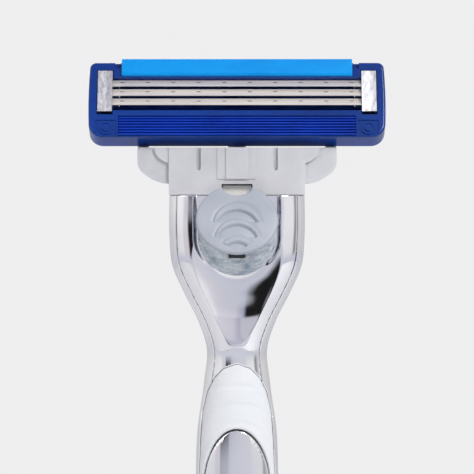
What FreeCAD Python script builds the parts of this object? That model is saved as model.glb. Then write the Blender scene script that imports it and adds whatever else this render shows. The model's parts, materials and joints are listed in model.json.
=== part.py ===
import FreeCAD, Part
import math
import os

# Cartridge razor, in millimetres.
# +Z runs up the handle towards the head, X is across, and the blades and the release button face -Y.
# The origin is the centre of the flat butt face at the handle's end.

Vec = FreeCAD.Vector

# ---- driving dimensions: handle ----
# height, half width, centre in y, half depth, roundness exponent of the handle's cross-sections
HANDLE_SECTIONS = [
    (0.0, 4.5, 0.0, 4.1, 2.2),
    (15.0, 5.3, 0.9, 4.7, 2.2),
    (32.0, 5.95, 1.9, 5.0, 2.2),
    (50.0, 6.3, 2.4, 5.1, 2.2),
    (68.0, 6.2, 2.2, 5.0, 2.2),
    (83.0, 5.85, 1.5, 4.8, 2.2),
    (91.0, 5.55, 1.0, 4.6, 2.2),
    (97.5, 4.65, 0.6, 4.35, 2.2),
    (102.5, 4.3, 0.3, 4.3, 2.3),
    (106.2, 5.5, 0.1, 4.55, 2.5),
    (110.0, 7.4, -0.1, 5.0, 2.9),
    (114.0, 9.1, -0.2, 5.3, 3.3),
    (118.0, 9.5, -0.2, 5.35, 3.6),
    (123.7, 9.5, -0.2, 5.35, 3.6),
]
HANDLE_TOP = HANDLE_SECTIONS[-1][0]
# height and y of the surface where the shells meet inside the rims
MIDDLE_LINE = [(-1.0, 0.2), (30.0, 1.9), (64.0, 2.3), (103.0, 0.35), (HANDLE_TOP + 1.0, -0.15)]
BUTT_CAP_HEIGHT = 4.0
BUTT_EDGE_RADIUS = 1.0
GRIP_THICKNESS = 1.1
SHELL_WALL = 2.0
SEAM_INSET = 1.03
SEAM_GAP = 0.08
SIDE_BAND = 2.2
RIM_BOTTOM = 14.0
GRIP_SIDE_INSET = 0.25
GRIP_BOTTOM = BUTT_CAP_HEIGHT + 2.3

# the front grip's arched top: height and half width, from the apex down
GRIP_ARCH = [(100.2, 0.0), (99.6, 1.9), (98.2, 3.3), (96.2, 4.3), (93.5, 4.95), (90.0, 5.2)]
REAR_GRIP_TOP_DROP = 6.0

# oval window in the front grip, wider end up
OVAL_CENTRE_Z = 82.6
OVAL_HALF_WIDTH = 4.9
OVAL_TOP = 8.5
OVAL_BOTTOM = 24.0
OVAL_GROOVE = 0.25

# button well with a round bottom, and the shallow bowl round it
WELL_HALF_WIDTH = 6.0
WELL_CENTRE_Z = 118.0
WELL_FLOOR_Y = -4.7
STEM_WINDOW_HALF_WIDTH = 1.7
STEM_WINDOW_BOTTOM = 116.6
BOWL_CENTRE = Vec(0, -13.6, 115.0)
BOWL_RADII = (17.5, 9.0, 26.0)

# posts and screws that hold the shells together
SCREW_HEIGHTS = (24.0, 84.0)
SCREW_SHANK_RADIUS = 0.9
SCREW_HEAD_RADIUS = 1.6
POST_RADIUS = 1.8
POST_LENGTH = 3.1
CAP_PLUG_RADIUS = 2.0
CAP_PLUG_LENGTH = 4.0
BAR_RADIUS = 2.0
BAR_BOTTOM = 28.0
BAR_TOP = 80.0

# ---- driving dimensions: docking nose, plunger, button ----
INSERT_HALF_WIDTH = 6.6
INSERT_FRONT_Y = -1.8
INSERT_BACK_Y = 2.8
INSERT_WIDE_BOTTOM = 114.0
INSERT_STEM_HALF_WIDTH = 2.1
INSERT_STEM_FRONT_Y = -1.5
INSERT_STEM_BACK_Y = 1.9
INSERT_STEM_BOTTOM = 105.5
NOSE_FRONT_Y = -2.85
NOSE_TOP = 129.2
NOSE_EDGE_RADIUS = 0.5
RAIL_X = 3.2
RAIL_HALF_WIDTH = 0.5
RAIL_BOTTOM = 115.5
POCKET_X = 4.6
POCKET_HALF_WIDTH = 1.3
POCKET_FRONT_Y = -1.0
POCKET_BOTTOM = 116.0
PLUNGER_Y = 0.2
PLUNGER_RADIUS = 1.25
PLUNGER_BOTTOM = 113.5
PLUNGER_TOP = 133.67
PLUNGER_RUN_CLEARANCE = 0.08
PLUNGER_BORE_BOTTOM = 109.5
PIN_Z = 107.0
PIN_RADIUS = 0.8
PIN_HALF_LENGTH = 3.8
SPRING_WIRE = 0.16
PLUNGER_SPRING_RADIUS = 0.95
PLUNGER_SPRING_ENDS = (109.6, 113.4)
PLUNGER_SPRING_TURNS = 5
BUTTON_SPRING_RADIUS = 0.38
BUTTON_SPRING_Y = -2.38
BUTTON_SPRING_ENDS = (114.9, 120.9)
BUTTON_SPRING_TURNS = 9
SPRING_LEDGE_TOP = 121.6
SPRING_LEDGE_THICKNESS = 0.6
SPRING_LEDGE_HALF_WIDTH = 0.9
BUTTON_RADIUS_X = 5.68
BUTTON_RADIUS_V = 5.21
BUTTON_TILT = 24.0
BUTTON_CENTRE = Vec(0, -7.9, 120.55)
BUTTON_THICKNESS = 1.0
BUTTON_NOTCH_HALF_WIDTH = 2.05
BUTTON_NOTCH_DEPTH = 1.65
BUTTON_EDGE_RADIUS = 0.35
CRESCENT_HEIGHT = 0.15
# in the disc's plane: height and radius of the outer arc, the same of the inner arc, and spread in degrees
CRESCENTS = [
    (-0.94, 3.27, -1.92, 3.07, 84.0),
    (-3.25, 3.06, -4.06, 3.02, 83.0),
    (-5.13, 2.44, -5.93, 2.33, 55.0),
]
SKIRT_TOP_RADII = (4.9, 4.5)
SKIRT_FOOT_RADIUS = 5.5
SKIRT_FOOT_Z = 118.0
SKIRT_STEM = (1.2, 117.2, 119.2)
SKIRT_BACK_Y = -5.0
EJECTOR_FRONT_Y = -3.4
EJECTOR_BACK_Y = -3.0
EJECTOR_BOTTOM = 114.0
EJECTOR_TOP = 125.1
EJECTOR_HALF_WIDTH = 2.0
EJECTOR_LUG = (0.8, -1.95, 114.1, 114.8)

# ---- driving dimensions: connector ----
CONNECTOR_HALF_WIDTH = 9.5
CONNECTOR_BOTTOM = HANDLE_TOP + 0.1
CONNECTOR_TOP = 130.4
CONNECTOR_FRONT_Y = -4.3
CONNECTOR_BACK_Y = 4.2
SOCKET_HALF_WIDTH = 7.0
SOCKET_FRONT_Y = -3.5
SOCKET_BACK_Y = 3.2
SOCKET_ROOF = 129.6
PLUNGER_HOLE_RADIUS = 1.5
WING_HALF_WIDTH = 13.9
WING_EDGE_Z = 128.6
WING_FOOT_Z = 125.4
WING_FRONT_Y = -3.7
WING_BACK_Y = 1.0
HUB_CENTRE_X = 8.6
HUB_RADII = (2.9, 2.3)
GROOVE_X = 5.37
GROOVE_HALF_WIDTH = 0.32
GROOVE_DEPTH = 0.45
GROOVE_BOTTOM = 127.5
PANEL_BOTTOM = 126.0
# half width and height of the low steps up the middle
PANEL_STEPS = [(2.75, 0.12), (1.55, 0.3)]
HUB_SETBACK = 0.2
TAB_NOTCH_HALF_WIDTH = 2.15
TAB_NOTCH_TOP = 125.3
ARM_INNER_X = 12.4
ARM_OUTER_X = 13.9
ARM_RADIUS = 0.95
ARM_LEAN = 38.0
ARM_LENGTH = 4.7
TRUNNION_RADIUS = 0.75
TRUNNION_END_X = 15.2

# ---- driving dimensions: cartridge ----
# The cartridge is drawn upright in its own frame: x across, z up the face, y into it from the face.
# Its origin is the middle of the face's lower edge.
FACE_EDGE = Vec(0, -5.5, 131.9)
FACE_TILT = 22.0
HOUSING_HALF_WIDTH = 20.55
HOUSING_SIDE_BULGE = 0.2
HOUSING_HEIGHT = 11.4
HOUSING_DEPTH = 3.4
PIVOT_Y = 2.0
PIVOT_Z = 2.5
BORE_CLEARANCE = 0.05
CAM_ARM = 3.0
CAM_ANGLE = 70.0
CAM_RADIUS = 0.8
CAM_HALF_WIDTH = 1.6
WINDOW_HALF_WIDTH = 19.3
WINDOW_BOTTOM = 3.95
WINDOW_TOP = 9.03
BLADE_HALF_LENGTH = 19.1
BLADE_COUNT = 3
BLADE_PITCH = 1.435
FIRST_EDGE_Z = 7.72
EDGE_Y = 0.15
EDGE_TILT = 24.0
EDGE_WIDTH = 1.35
EDGE_THICKNESS = 0.1
SUPPORT_THICKNESS = 0.28
SUPPORT_SETBACK = 0.42
SUPPORT_BACK_Y = 2.3
BAR_FRONT_Y = 2.65
BAR_HALF_WIDTH = 0.5
BAR_POSITIONS = (-16.0, -12.0, -6.0, 6.0, 12.0, 16.0)
SLAT_LOW = 0.55
SLAT_HIGH = 1.08
LOWEST_SLAT_BOTTOM = 4.95
# the slats' ends are thinner, because they run on behind the spring fingers
SLAT_END_FRONT_Y = 3.02
SLAT_END_X = 17.6
CAM_ROOT_HALF_WIDTH = 2.2
SPRING_SPINE = (18.9, 19.25)
SPRING_FRONT_Y = 2.7
SPRING_BACK_Y = 3.3
FINGER_START_X = 16.6
FINGER_THICKNESS = 0.25
FINGER_SPAN = (-0.5, 0.1)
CLIP_INNER_X = 17.42
CLIP_OUTER_X = 19.46
CLIP_THICKNESS = 0.18
CLIP_BOTTOM = 3.78
CLIP_TOP = 10.0
CLIP_FRONT_Y = -0.12
CLIP_BACK_GAP = 0.06
CLIP_FOOT_LENGTHS = (1.2, 1.0)
STRIP_HALF_WIDTH = 16.14
STRIP_BOTTOM = 9.2
STRIP_TOP = 11.85
FIN_HALF_WIDTH = 16.5
FIN_COUNT = 7
FIN_PITCH = 0.42
FIRST_FIN_Z = 0.32
FIN_BED = (0.28, 0.82, 0.15, 3.1)
STRIP_FRONT_Y = -0.4
STRIP_BACK_Y = 0.9
STRIP_EDGE_RADIUS = 0.45
PAD_CENTRE = (18.25, 1.3)
PAD_HALF_SIZE = (1.45, 1.2)
PAD_DEPTH = 0.15
RING_RADII = (0.72, 0.97)
DOME_RADIUS = 0.5


def box(x0, x1, y0, y1, z0, z1):
    return Part.makeBox(x1 - x0, y1 - y0, z1 - z0, Vec(x0, y0, z0))


def rod(radius, start, axis, length):
    return Part.makeCylinder(radius, length, Vec(*start), Vec(*axis))


def prism_along_x(points, x0, x1):
    """Solid with a polygon of (y, z) points as its section, from x0 to x1."""
    corners = [Vec(x0, y, z) for y, z in points]
    wire = Part.makePolygon(corners + corners[:1])
    return Part.Face(wire).extrude(Vec(x1 - x0, 0, 0))


def prism_along_y(wire_edges, y0, y1):
    """Solid whose outline is a list of edges in the plane y = 0, from y0 to y1."""
    wire = Part.Wire(Part.__sortEdges__(wire_edges))
    face = Part.Face(wire)
    face.translate(Vec(0, y0, 0))
    return face.extrude(Vec(0, y1 - y0, 0))


def mirrored(shape):
    return shape.mirror(Vec(0, 0, 0), Vec(1, 0, 0))


def in_cartridge(shape):
    """Moves a shape from the cartridge's own frame to its tilted place on the razor."""
    placed = shape.copy()
    placed.Placement = FreeCAD.Placement(FACE_EDGE, FreeCAD.Rotation(Vec(1, 0, 0), -FACE_TILT))
    return placed


def helical_spring(radius, ends, turns, centre_y):
    """Coil spring along Z between two heights, as one swept wire."""
    low, high = ends
    rise = high - low - 2 * SPRING_WIRE
    helix = Part.makeHelix(rise / turns, rise, radius)
    ring = Part.Circle(Vec(radius, 0, 0), Vec(0, 1, 0), SPRING_WIRE).toShape()
    coil = Part.Wire(helix).makePipeShell([Part.Wire(ring)], True, True)
    coil.translate(Vec(0, centre_y, low + SPRING_WIRE))
    return coil


def plunger_spring():
    return helical_spring(PLUNGER_SPRING_RADIUS, PLUNGER_SPRING_ENDS, PLUNGER_SPRING_TURNS, PLUNGER_Y)


def button_spring():
    return helical_spring(BUTTON_SPRING_RADIUS, BUTTON_SPRING_ENDS, BUTTON_SPRING_TURNS, BUTTON_SPRING_Y)


# ---- handle ----


def section_wire(z, half_width, centre_y, half_depth, exponent, inset):
    """Rounded cross-section of the handle at one height, drawn as a closed spline."""
    steps = 32
    points = []
    for step in range(steps):
        angle = 2 * math.pi * step / steps
        across = math.copysign(abs(math.cos(angle)) ** (2 / exponent), math.cos(angle))
        deep = math.copysign(abs(math.sin(angle)) ** (2 / exponent), math.sin(angle))
        points.append(Vec((half_width - inset) * across, centre_y + (half_depth - inset) * deep, z))
    spline = Part.BSplineCurve()
    spline.interpolate(Points=points, PeriodicFlag=True)
    return Part.Wire(spline.toShape())


def handle_body(inset=0.0):
    """Handle's outer shape, or the same shape brought in by a wall thickness."""
    wires = [section_wire(*section, inset) for section in HANDLE_SECTIONS]
    return Part.makeLoft(wires, True, False)


def handle_at(z):
    """Half width, centre in y and half depth of the handle at a height."""
    for low, high in zip(HANDLE_SECTIONS, HANDLE_SECTIONS[1:]):
        if z <= high[0]:
            share = (z - low[0]) / (high[0] - low[0])
            return [a + share * (b - a) for a, b in zip(low[1:4], high[1:4])]
    return HANDLE_SECTIONS[-1][1:4]


def outline_prism(side, y0, y1):
    """Prism along Y, mirrored about x = 0, from a list of (z, half width) running downwards."""
    right = Part.BSplineCurve()
    right.interpolate([Vec(x, 0, z) for z, x in side])
    left = Part.BSplineCurve()
    left.interpolate([Vec(-x, 0, z) for z, x in side])
    edges = [right.toShape(), left.toShape()]
    for z, x in (side[0], side[-1]):
        if x > 0:
            edges.append(Part.LineSegment(Vec(-x, 0, z), Vec(x, 0, z)).toShape())
    return prism_along_y(edges, y0, y1)


def side_region(front, offset):
    """Everything in front of, or behind, the handle's middle surface moved by an offset."""
    far = -30 if front else 30
    points = [(y + offset, z) for z, y in MIDDLE_LINE]
    return prism_along_x(points + [(far, MIDDLE_LINE[-1][0]), (far, MIDDLE_LINE[0][0])], -30, 30)


def oval_prism(grow):
    """Egg-shaped prism of the grip's window, larger or smaller by an amount all round."""
    half_width = OVAL_HALF_WIDTH + grow
    top = OVAL_TOP + grow
    bottom = OVAL_BOTTOM + grow
    steps = 12
    points = []
    for step in range(4 * steps):
        angle = math.pi * step / (2 * steps)
        reach = top if math.sin(angle) > 0 else bottom
        points.append(Vec(half_width * math.cos(angle), 0, OVAL_CENTRE_Z + reach * math.sin(angle)))
    spline = Part.BSplineCurve()
    spline.interpolate(Points=points, PeriodicFlag=True)
    return prism_along_y([spline.toShape()], -20, 0)


def seam_prism(gap):
    """Outline of the front shell between the rims of the rear shell."""
    side = [(z, half_width - SEAM_INSET - gap) for z, half_width, *rest in reversed(HANDLE_SECTIONS)]
    side[0] = (HANDLE_TOP + 1.0, side[0][1])
    side[-1] = (BUTT_CAP_HEIGHT, side[-1][1])
    return outline_prism(side, -20, 20)


def grip_prism():
    """Outline of a grip seen from the front: an arch at the top, then nearly the handle's width."""
    lower = [83.0, 68.0, 50.0, 32.0, 15.0, GRIP_BOTTOM]
    side = [(z, x) for z, x in GRIP_ARCH]
    side += [(z, handle_at(z)[0] - GRIP_SIDE_INSET) for z in lower]
    return outline_prism(side, -20, 20)


def button_direction():
    tilt = math.radians(BUTTON_TILT)
    up = Vec(0, math.sin(tilt), math.cos(tilt))
    out = Vec(0, -math.cos(tilt), math.sin(tilt))
    return up, out


def button_well():
    """Opening for the button: straight sides above a round bottom."""
    half = WELL_HALF_WIDTH
    upper = box(-half, half, -20, WELL_FLOOR_Y, WELL_CENTRE_Z, HANDLE_TOP + 1)
    return upper.fuse(rod(half, (0, -20, WELL_CENTRE_Z), (0, 1, 0), 20 + WELL_FLOOR_Y))


def front_bowl():
    """Ellipsoid that hollows the front shell round the button, down to the neck."""
    ball = Part.makeSphere(1.0)
    stretch = FreeCAD.Matrix()
    stretch.scale(*BOWL_RADII)
    bowl = ball.transformGeometry(stretch)
    bowl.translate(BOWL_CENTRE)
    return bowl


def shell_cavity():
    """Space inside both shells for the insert, the slide and the bar."""
    cavity = handle_body(SHELL_WALL).common(box(-20, 20, -20, 20, BUTT_CAP_HEIGHT + 1, 113.0))
    head = box(-7.0, 7.0, -3.7, 3.3, 112.0, HANDLE_TOP + 1)
    return cavity.fuse(head)


def screw_set():
    """Two screws driven from the back into the front shell."""
    screws = []
    for z in SCREW_HEIGHTS:
        centre_y = handle_at(z)[1]
        shank = rod(SCREW_SHANK_RADIUS, (0, centre_y - 1.6, z), (0, 1, 0), 5.0)
        head = rod(SCREW_HEAD_RADIUS, (0, centre_y + 2.6, z), (0, 1, 0), 0.8)
        screws.append(shank.fuse(head))
    return Part.makeCompound(screws)


def with_posts(shell, start):
    """Adds the posts that the screws pass through; start is measured from the handle's centre."""
    for z in SCREW_HEIGHTS:
        post = rod(POST_RADIUS, (0, handle_at(z)[1] + start, z), (0, 1, 0), POST_LENGTH)
        shell = shell.fuse(post)
    return shell


def handle_pieces():
    """Both shells, both grips and the end cap."""
    body = handle_body()
    skin = body.cut(handle_body(GRIP_THICKNESS))
    cavity = shell_cavity()
    front_half = side_region(True, -SIDE_BAND / 2)
    rear_half = side_region(False, SIDE_BAND / 2)
    middle = side_region(True, 0.0)
    above_cap = box(-20, 20, -20, 20, BUTT_CAP_HEIGHT, HANDLE_TOP + 1)

    grip_skin = skin.common(grip_prism())
    oval_island = oval_prism(-OVAL_GROOVE)
    front_grip = grip_skin.common(front_half).cut(oval_prism(0.0))
    below_rear_top = box(-20, 20, -20, 20, 0, GRIP_ARCH[0][0] - REAR_GRIP_TOP_DROP)
    rear_grip = grip_skin.common(rear_half).common(below_rear_top)
    front_pocket = grip_skin.common(front_half).cut(oval_island)

    walls = body.cut(cavity).common(above_cap)
    above_rim = box(-20, 20, -20, 20, RIM_BOTTOM, HANDLE_TOP + 1)
    front = walls.common(seam_prism(SEAM_GAP)).common(middle).cut(front_pocket)
    window_half = STEM_WINDOW_HALF_WIDTH
    stem_window = box(-window_half, window_half, -20, 0, STEM_WINDOW_BOTTOM, HANDLE_TOP + 1)
    front = front.cut(button_well()).cut(front_bowl()).cut(stem_window)
    rims = walls.common(above_rim).common(middle).cut(seam_prism(0.0))
    rear = walls.common(side_region(False, 0.0)).fuse(rims)
    rear = rear.cut(front_pocket).cut(rear_grip)

    front = with_posts(front, -POST_LENGTH - 0.1).cut(screw_set()).cut(insert_pin())
    rear = with_posts(rear, 0.1).cut(screw_set()).cut(insert_pin())

    cap = body.common(box(-20, 20, -20, 20, 0, BUTT_CAP_HEIGHT))
    rim = [edge for edge in cap.Edges if edge.BoundBox.ZMax < 0.01]
    cap = cap.makeFillet(BUTT_EDGE_RADIUS, rim)
    plug = rod(CAP_PLUG_RADIUS, (0, 0.3, BUTT_CAP_HEIGHT), (0, 0, 1), CAP_PLUG_LENGTH)
    cap = cap.fuse(plug)
    front = front.cut(plug)
    rear = rear.cut(plug)
    return front, rear, front_grip, rear_grip, cap


def insert_pin():
    """Cross pin through the insert's stem and both shells."""
    return rod(PIN_RADIUS, (-PIN_HALF_LENGTH, PLUNGER_Y, PIN_Z), (1, 0, 0), 2 * PIN_HALF_LENGTH)


def head_insert():
    """Block in the head: stem in the neck, plunger bore, docking nose and the spring's ledge."""
    wide = INSERT_HALF_WIDTH
    block = box(-wide, wide, INSERT_FRONT_Y, INSERT_BACK_Y, INSERT_WIDE_BOTTOM, HANDLE_TOP)
    half = INSERT_STEM_HALF_WIDTH
    stem = box(-half, half, INSERT_STEM_FRONT_Y, INSERT_STEM_BACK_Y, INSERT_STEM_BOTTOM, INSERT_WIDE_BOTTOM)
    nose = box(-wide, wide, NOSE_FRONT_Y, INSERT_BACK_Y, HANDLE_TOP, NOSE_TOP)
    nose_edges = [edge for edge in nose.Edges if edge.BoundBox.ZMin > NOSE_TOP - 0.01]
    nose = nose.makeFillet(NOSE_EDGE_RADIUS, nose_edges)
    ledge_half = SPRING_LEDGE_HALF_WIDTH
    ledge_bottom = SPRING_LEDGE_TOP - SPRING_LEDGE_THICKNESS
    ledge = box(-ledge_half, ledge_half, NOSE_FRONT_Y, INSERT_FRONT_Y, ledge_bottom, SPRING_LEDGE_TOP)
    rails = []
    pockets = []
    for side in (-1, 1):
        low = side * RAIL_X - RAIL_HALF_WIDTH
        high = side * RAIL_X + RAIL_HALF_WIDTH
        rails.append(box(low, high, NOSE_FRONT_Y, INSERT_FRONT_Y, RAIL_BOTTOM, HANDLE_TOP))
        low = side * POCKET_X - POCKET_HALF_WIDTH
        high = side * POCKET_X + POCKET_HALF_WIDTH
        pockets.append(box(low, high, POCKET_FRONT_Y, INSERT_BACK_Y - 0.8, POCKET_BOTTOM, NOSE_TOP - 1.0))
    insert = block.multiFuse([stem, nose, ledge] + rails)
    bore_radius = PLUNGER_RADIUS + PLUNGER_RUN_CLEARANCE
    bore = rod(bore_radius, (0, PLUNGER_Y, PLUNGER_BORE_BOTTOM), (0, 0, 1), NOSE_TOP)
    for room in [bore, insert_pin()] + pockets:
        insert = insert.cut(room)
    return insert


def core_bar():
    """Steel bar that gives the handle its weight, bedded in the grip part of the shells."""
    centre = handle_at((BAR_BOTTOM + BAR_TOP) / 2)[1]
    return rod(BAR_RADIUS, (0, centre - 0.2, BAR_BOTTOM), (0, 0, 1), BAR_TOP - BAR_BOTTOM)


# ---- release button ----


def tilted_ellipse(centre, radius_x, radius_v):
    """Ellipse in the button's tilted plane."""
    ellipse = Part.Ellipse(Vec(0, 0, 0), radius_x, radius_v)
    wire = Part.Wire(ellipse.toShape())
    wire.rotate(Vec(0, 0, 0), Vec(1, 0, 0), 90 - BUTTON_TILT)
    wire.translate(centre)
    return wire


def button_cap():
    """Tilted thumb disc with a notch at its top and three raised crescents."""
    up, out = button_direction()
    back = tilted_ellipse(BUTTON_CENTRE - out * BUTTON_THICKNESS, BUTTON_RADIUS_X, BUTTON_RADIUS_V)
    disc = Part.Face(back).extrude(out * BUTTON_THICKNESS)
    rims = [edge for edge in disc.Edges if edge.Closed and edge.Length > 20]
    disc = disc.makeFillet(BUTTON_EDGE_RADIUS, rims)
    notch_centre = BUTTON_CENTRE + up * BUTTON_RADIUS_V
    notch = Part.Face(tilted_ellipse(notch_centre - out * 3, BUTTON_NOTCH_HALF_WIDTH, BUTTON_NOTCH_DEPTH))
    disc = disc.cut(notch.extrude(out * 6))
    for shape in CRESCENTS:
        disc = disc.fuse(crescent(*shape))
    return disc


def on_disc(across, height):
    """Point of the disc's front plane, from its centre."""
    up = button_direction()[0]
    return BUTTON_CENTRE + Vec(across, 0, 0) + up * height


def crescent(outer_height, outer_radius, inner_height, inner_radius, spread):
    """Low curved ridge on the disc, between two arcs and two rays from the outer arc's centre."""
    out = button_direction()[1]
    root = 0.3
    far = 8.0
    centre = on_disc(0, outer_height)
    outer = Part.Face(tilted_ellipse(centre - out * root, outer_radius, outer_radius))
    outer = outer.extrude(out * (root + CRESCENT_HEIGHT))
    inner_centre = on_disc(0, inner_height)
    inner = Part.Face(tilted_ellipse(inner_centre - out, inner_radius, inner_radius)).extrude(out * 2)
    across = far * math.sin(math.radians(spread))
    rise = far * math.cos(math.radians(spread))
    corners = [centre]
    for x, height in ((-across, rise), (-far, far), (far, far), (across, rise)):
        corners.append(on_disc(x, outer_height + height))
    sector = Part.Face(Part.makePolygon(corners + corners[:1]))
    sector.translate(-out)
    return outer.cut(inner).common(sector.extrude(out * 2))


def button_skirt():
    """Translucent skirt that joins the disc to the slide through the shell's window."""
    up, out = button_direction()
    top = tilted_ellipse(BUTTON_CENTRE - out * BUTTON_THICKNESS, *SKIRT_TOP_RADII)
    foot = Part.Wire(Part.Circle(Vec(0, 0, 0), Vec(0, 0, 1), SKIRT_FOOT_RADIUS).toShape())
    foot.rotate(Vec(0, 0, 0), Vec(1, 0, 0), 90)
    foot.translate(Vec(0, SKIRT_BACK_Y, SKIRT_FOOT_Z))
    skirt = Part.makeLoft([top, foot], True, True)
    half, low, high = SKIRT_STEM
    stem = box(-half, half, SKIRT_BACK_Y - 0.4, EJECTOR_FRONT_Y, low, high)
    return skirt.fuse(stem)


def ejector_slide():
    """White slide behind the button, with the lug that carries the button's spring."""
    half = EJECTOR_HALF_WIDTH
    plate = box(-half, half, EJECTOR_FRONT_Y, EJECTOR_BACK_Y, EJECTOR_BOTTOM, EJECTOR_TOP)
    lug_half, lug_back, low, high = EJECTOR_LUG
    lug = box(-lug_half, lug_half, EJECTOR_BACK_Y, lug_back, low, high)
    return plate.fuse(lug)


# ---- connector ----


def connector_frame():
    """Connector between handle and cartridge: socket, wings, two arms and their trunnions."""
    half = CONNECTOR_HALF_WIDTH
    front = CONNECTOR_FRONT_Y
    block = box(-half, half, front, CONNECTOR_BACK_Y, CONNECTOR_BOTTOM, CONNECTOR_TOP)
    sides = []
    for part in (wing_solid(), hub_step(), trunnion_arm()):
        sides += [part, mirrored(part)]
    frame = block.multiFuse(sides + centre_panels())
    socket = box(-SOCKET_HALF_WIDTH, SOCKET_HALF_WIDTH, SOCKET_FRONT_Y, SOCKET_BACK_Y, 100, SOCKET_ROOF)
    plunger_hole = rod(PLUNGER_HOLE_RADIUS, (0, PLUNGER_Y, SOCKET_ROOF - 1), (0, 0, 1), 10)
    tab_half = TAB_NOTCH_HALF_WIDTH
    tab_notch = box(-tab_half, tab_half, front - 1, SOCKET_FRONT_Y + 0.1, 100, TAB_NOTCH_TOP)
    frame = frame.cut(socket).cut(plunger_hole).cut(tab_notch)
    for x in (-GROOVE_X, GROOVE_X):
        frame = frame.cut(front_groove(x))
    return frame


def front_groove(x):
    """Groove down the connector's front, with a round lower end."""
    y0 = CONNECTOR_FRONT_Y - 1
    y1 = CONNECTOR_FRONT_Y + GROOVE_DEPTH
    groove = box(x - GROOVE_HALF_WIDTH, x + GROOVE_HALF_WIDTH, y0, y1, GROOVE_BOTTOM, CONNECTOR_TOP + 1)
    return groove.fuse(rod(GROOVE_HALF_WIDTH, (x, y0, GROOVE_BOTTOM), (0, 1, 0), y1 - y0))


def centre_panels():
    """Two low steps up the middle of the connector's front."""
    front = CONNECTOR_FRONT_Y
    panels = []
    for half, height in PANEL_STEPS:
        panels.append(box(-half, half, front - height, front, PANEL_BOTTOM, CONNECTOR_TOP))
    return panels


def quarter_ellipse_plate(centre_x, centre_z, radii, top, y0, y1):
    """Plate beside the block: straight down from its top, then round under a quarter of an ellipse."""
    across, down = radii
    outer = Vec(centre_x + across, 0, centre_z)
    foot = Vec(centre_x, 0, centre_z - down)
    slope = math.sqrt(0.5)
    between = Vec(centre_x + across * slope, 0, centre_z - down * slope)
    curve = Part.BSplineCurve()
    tangents = [Vec(0, 0, -down), Vec(-across, 0, -down) * slope, Vec(-across, 0, 0)]
    curve.interpolate(Points=[outer, between, foot], Tangents=tangents, TangentFlags=[True] * 3)
    corners = [foot, Vec(centre_x, 0, top), Vec(centre_x + across, 0, top)]
    if top > centre_z:
        corners.append(outer)
    edges = [Part.LineSegment(a, b).toShape() for a, b in zip(corners, corners[1:])]
    return prism_along_y(edges + [curve.toShape()], y0, y1)


def wing_solid():
    """Wing beside the centre block, set back from its front."""
    inner = CONNECTOR_HALF_WIDTH - 0.5
    radii = (WING_HALF_WIDTH - inner, WING_EDGE_Z - WING_FOOT_Z)
    return quarter_ellipse_plate(inner, WING_EDGE_Z, radii, CONNECTOR_TOP, WING_FRONT_Y, WING_BACK_Y)


def hub_step():
    """Quarter of a round step on the wing's front, beside the block's upper corner."""
    y0 = CONNECTOR_FRONT_Y + HUB_SETBACK
    y1 = WING_FRONT_Y + 0.5
    return quarter_ellipse_plate(HUB_CENTRE_X, CONNECTOR_TOP, HUB_RADII, CONNECTOR_TOP, y0, y1)


def pivot_point():
    """The cartridge's pivot axis on the razor."""
    return in_cartridge(Part.Vertex(Vec(0, PIVOT_Y, PIVOT_Z))).Point


def trunnion_arm():
    """Arm that leans forward from the wing to a round head, which carries one trunnion."""
    pivot = pivot_point()
    reach = ARM_OUTER_X - ARM_INNER_X
    arm = box(ARM_INNER_X, ARM_OUTER_X, -ARM_RADIUS, ARM_RADIUS, -ARM_LENGTH, 0)
    arm.rotate(Vec(0, 0, 0), Vec(1, 0, 0), ARM_LEAN)
    arm.translate(pivot)
    head = rod(ARM_RADIUS, (ARM_INNER_X, pivot.y, pivot.z), (1, 0, 0), reach)
    trunnion = rod(TRUNNION_RADIUS, (ARM_INNER_X, pivot.y, pivot.z), (1, 0, 0), TRUNNION_END_X - ARM_INNER_X)
    return arm.multiFuse([head, trunnion])


# ---- cartridge ----


def housing_blank():
    """Housing's outer block: slightly bulged sides, small upper and larger lower corners."""
    width = HOUSING_HALF_WIDTH
    middle = Vec(width + HOUSING_SIDE_BULGE, 0, HOUSING_HEIGHT * 0.5)
    low = Vec(width, 0, 0)
    high = Vec(width, 0, HOUSING_HEIGHT)
    edges = [
        Part.Arc(low, middle, high).toShape(),
        Part.LineSegment(high, Vec(-width, 0, HOUSING_HEIGHT)).toShape(),
        Part.Arc(Vec(-width, 0, HOUSING_HEIGHT), Vec(-middle.x, 0, middle.z), Vec(-width, 0, 0)).toShape(),
        Part.LineSegment(Vec(-width, 0, 0), low).toShape(),
    ]
    blank = prism_along_y(edges, 0, HOUSING_DEPTH)
    corners = [edge for edge in blank.Edges if edge.BoundBox.XLength < 0.01 and edge.BoundBox.ZLength < 0.01]
    lower = [edge for edge in corners if edge.BoundBox.ZMax < 1]
    blank = blank.makeFillet(2.0, lower)
    upper = [edge for edge in blank.Edges if is_upper_corner(edge)]
    blank = blank.makeFillet(0.9, upper)
    rim = [edge for edge in blank.Edges if edge.BoundBox.YMax < 0.01]
    return blank.makeFillet(0.35, rim)


def is_upper_corner(edge):
    bounds = edge.BoundBox
    return bounds.XLength < 0.01 and bounds.ZLength < 0.01 and bounds.ZMin > HOUSING_HEIGHT - 0.01


def cam_centre():
    """Centre of the cam nose in the cartridge's own frame."""
    angle = math.radians(CAM_ANGLE - FACE_TILT)
    return PIVOT_Y + CAM_ARM * math.sin(angle), PIVOT_Z + CAM_ARM * math.cos(angle)


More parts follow.
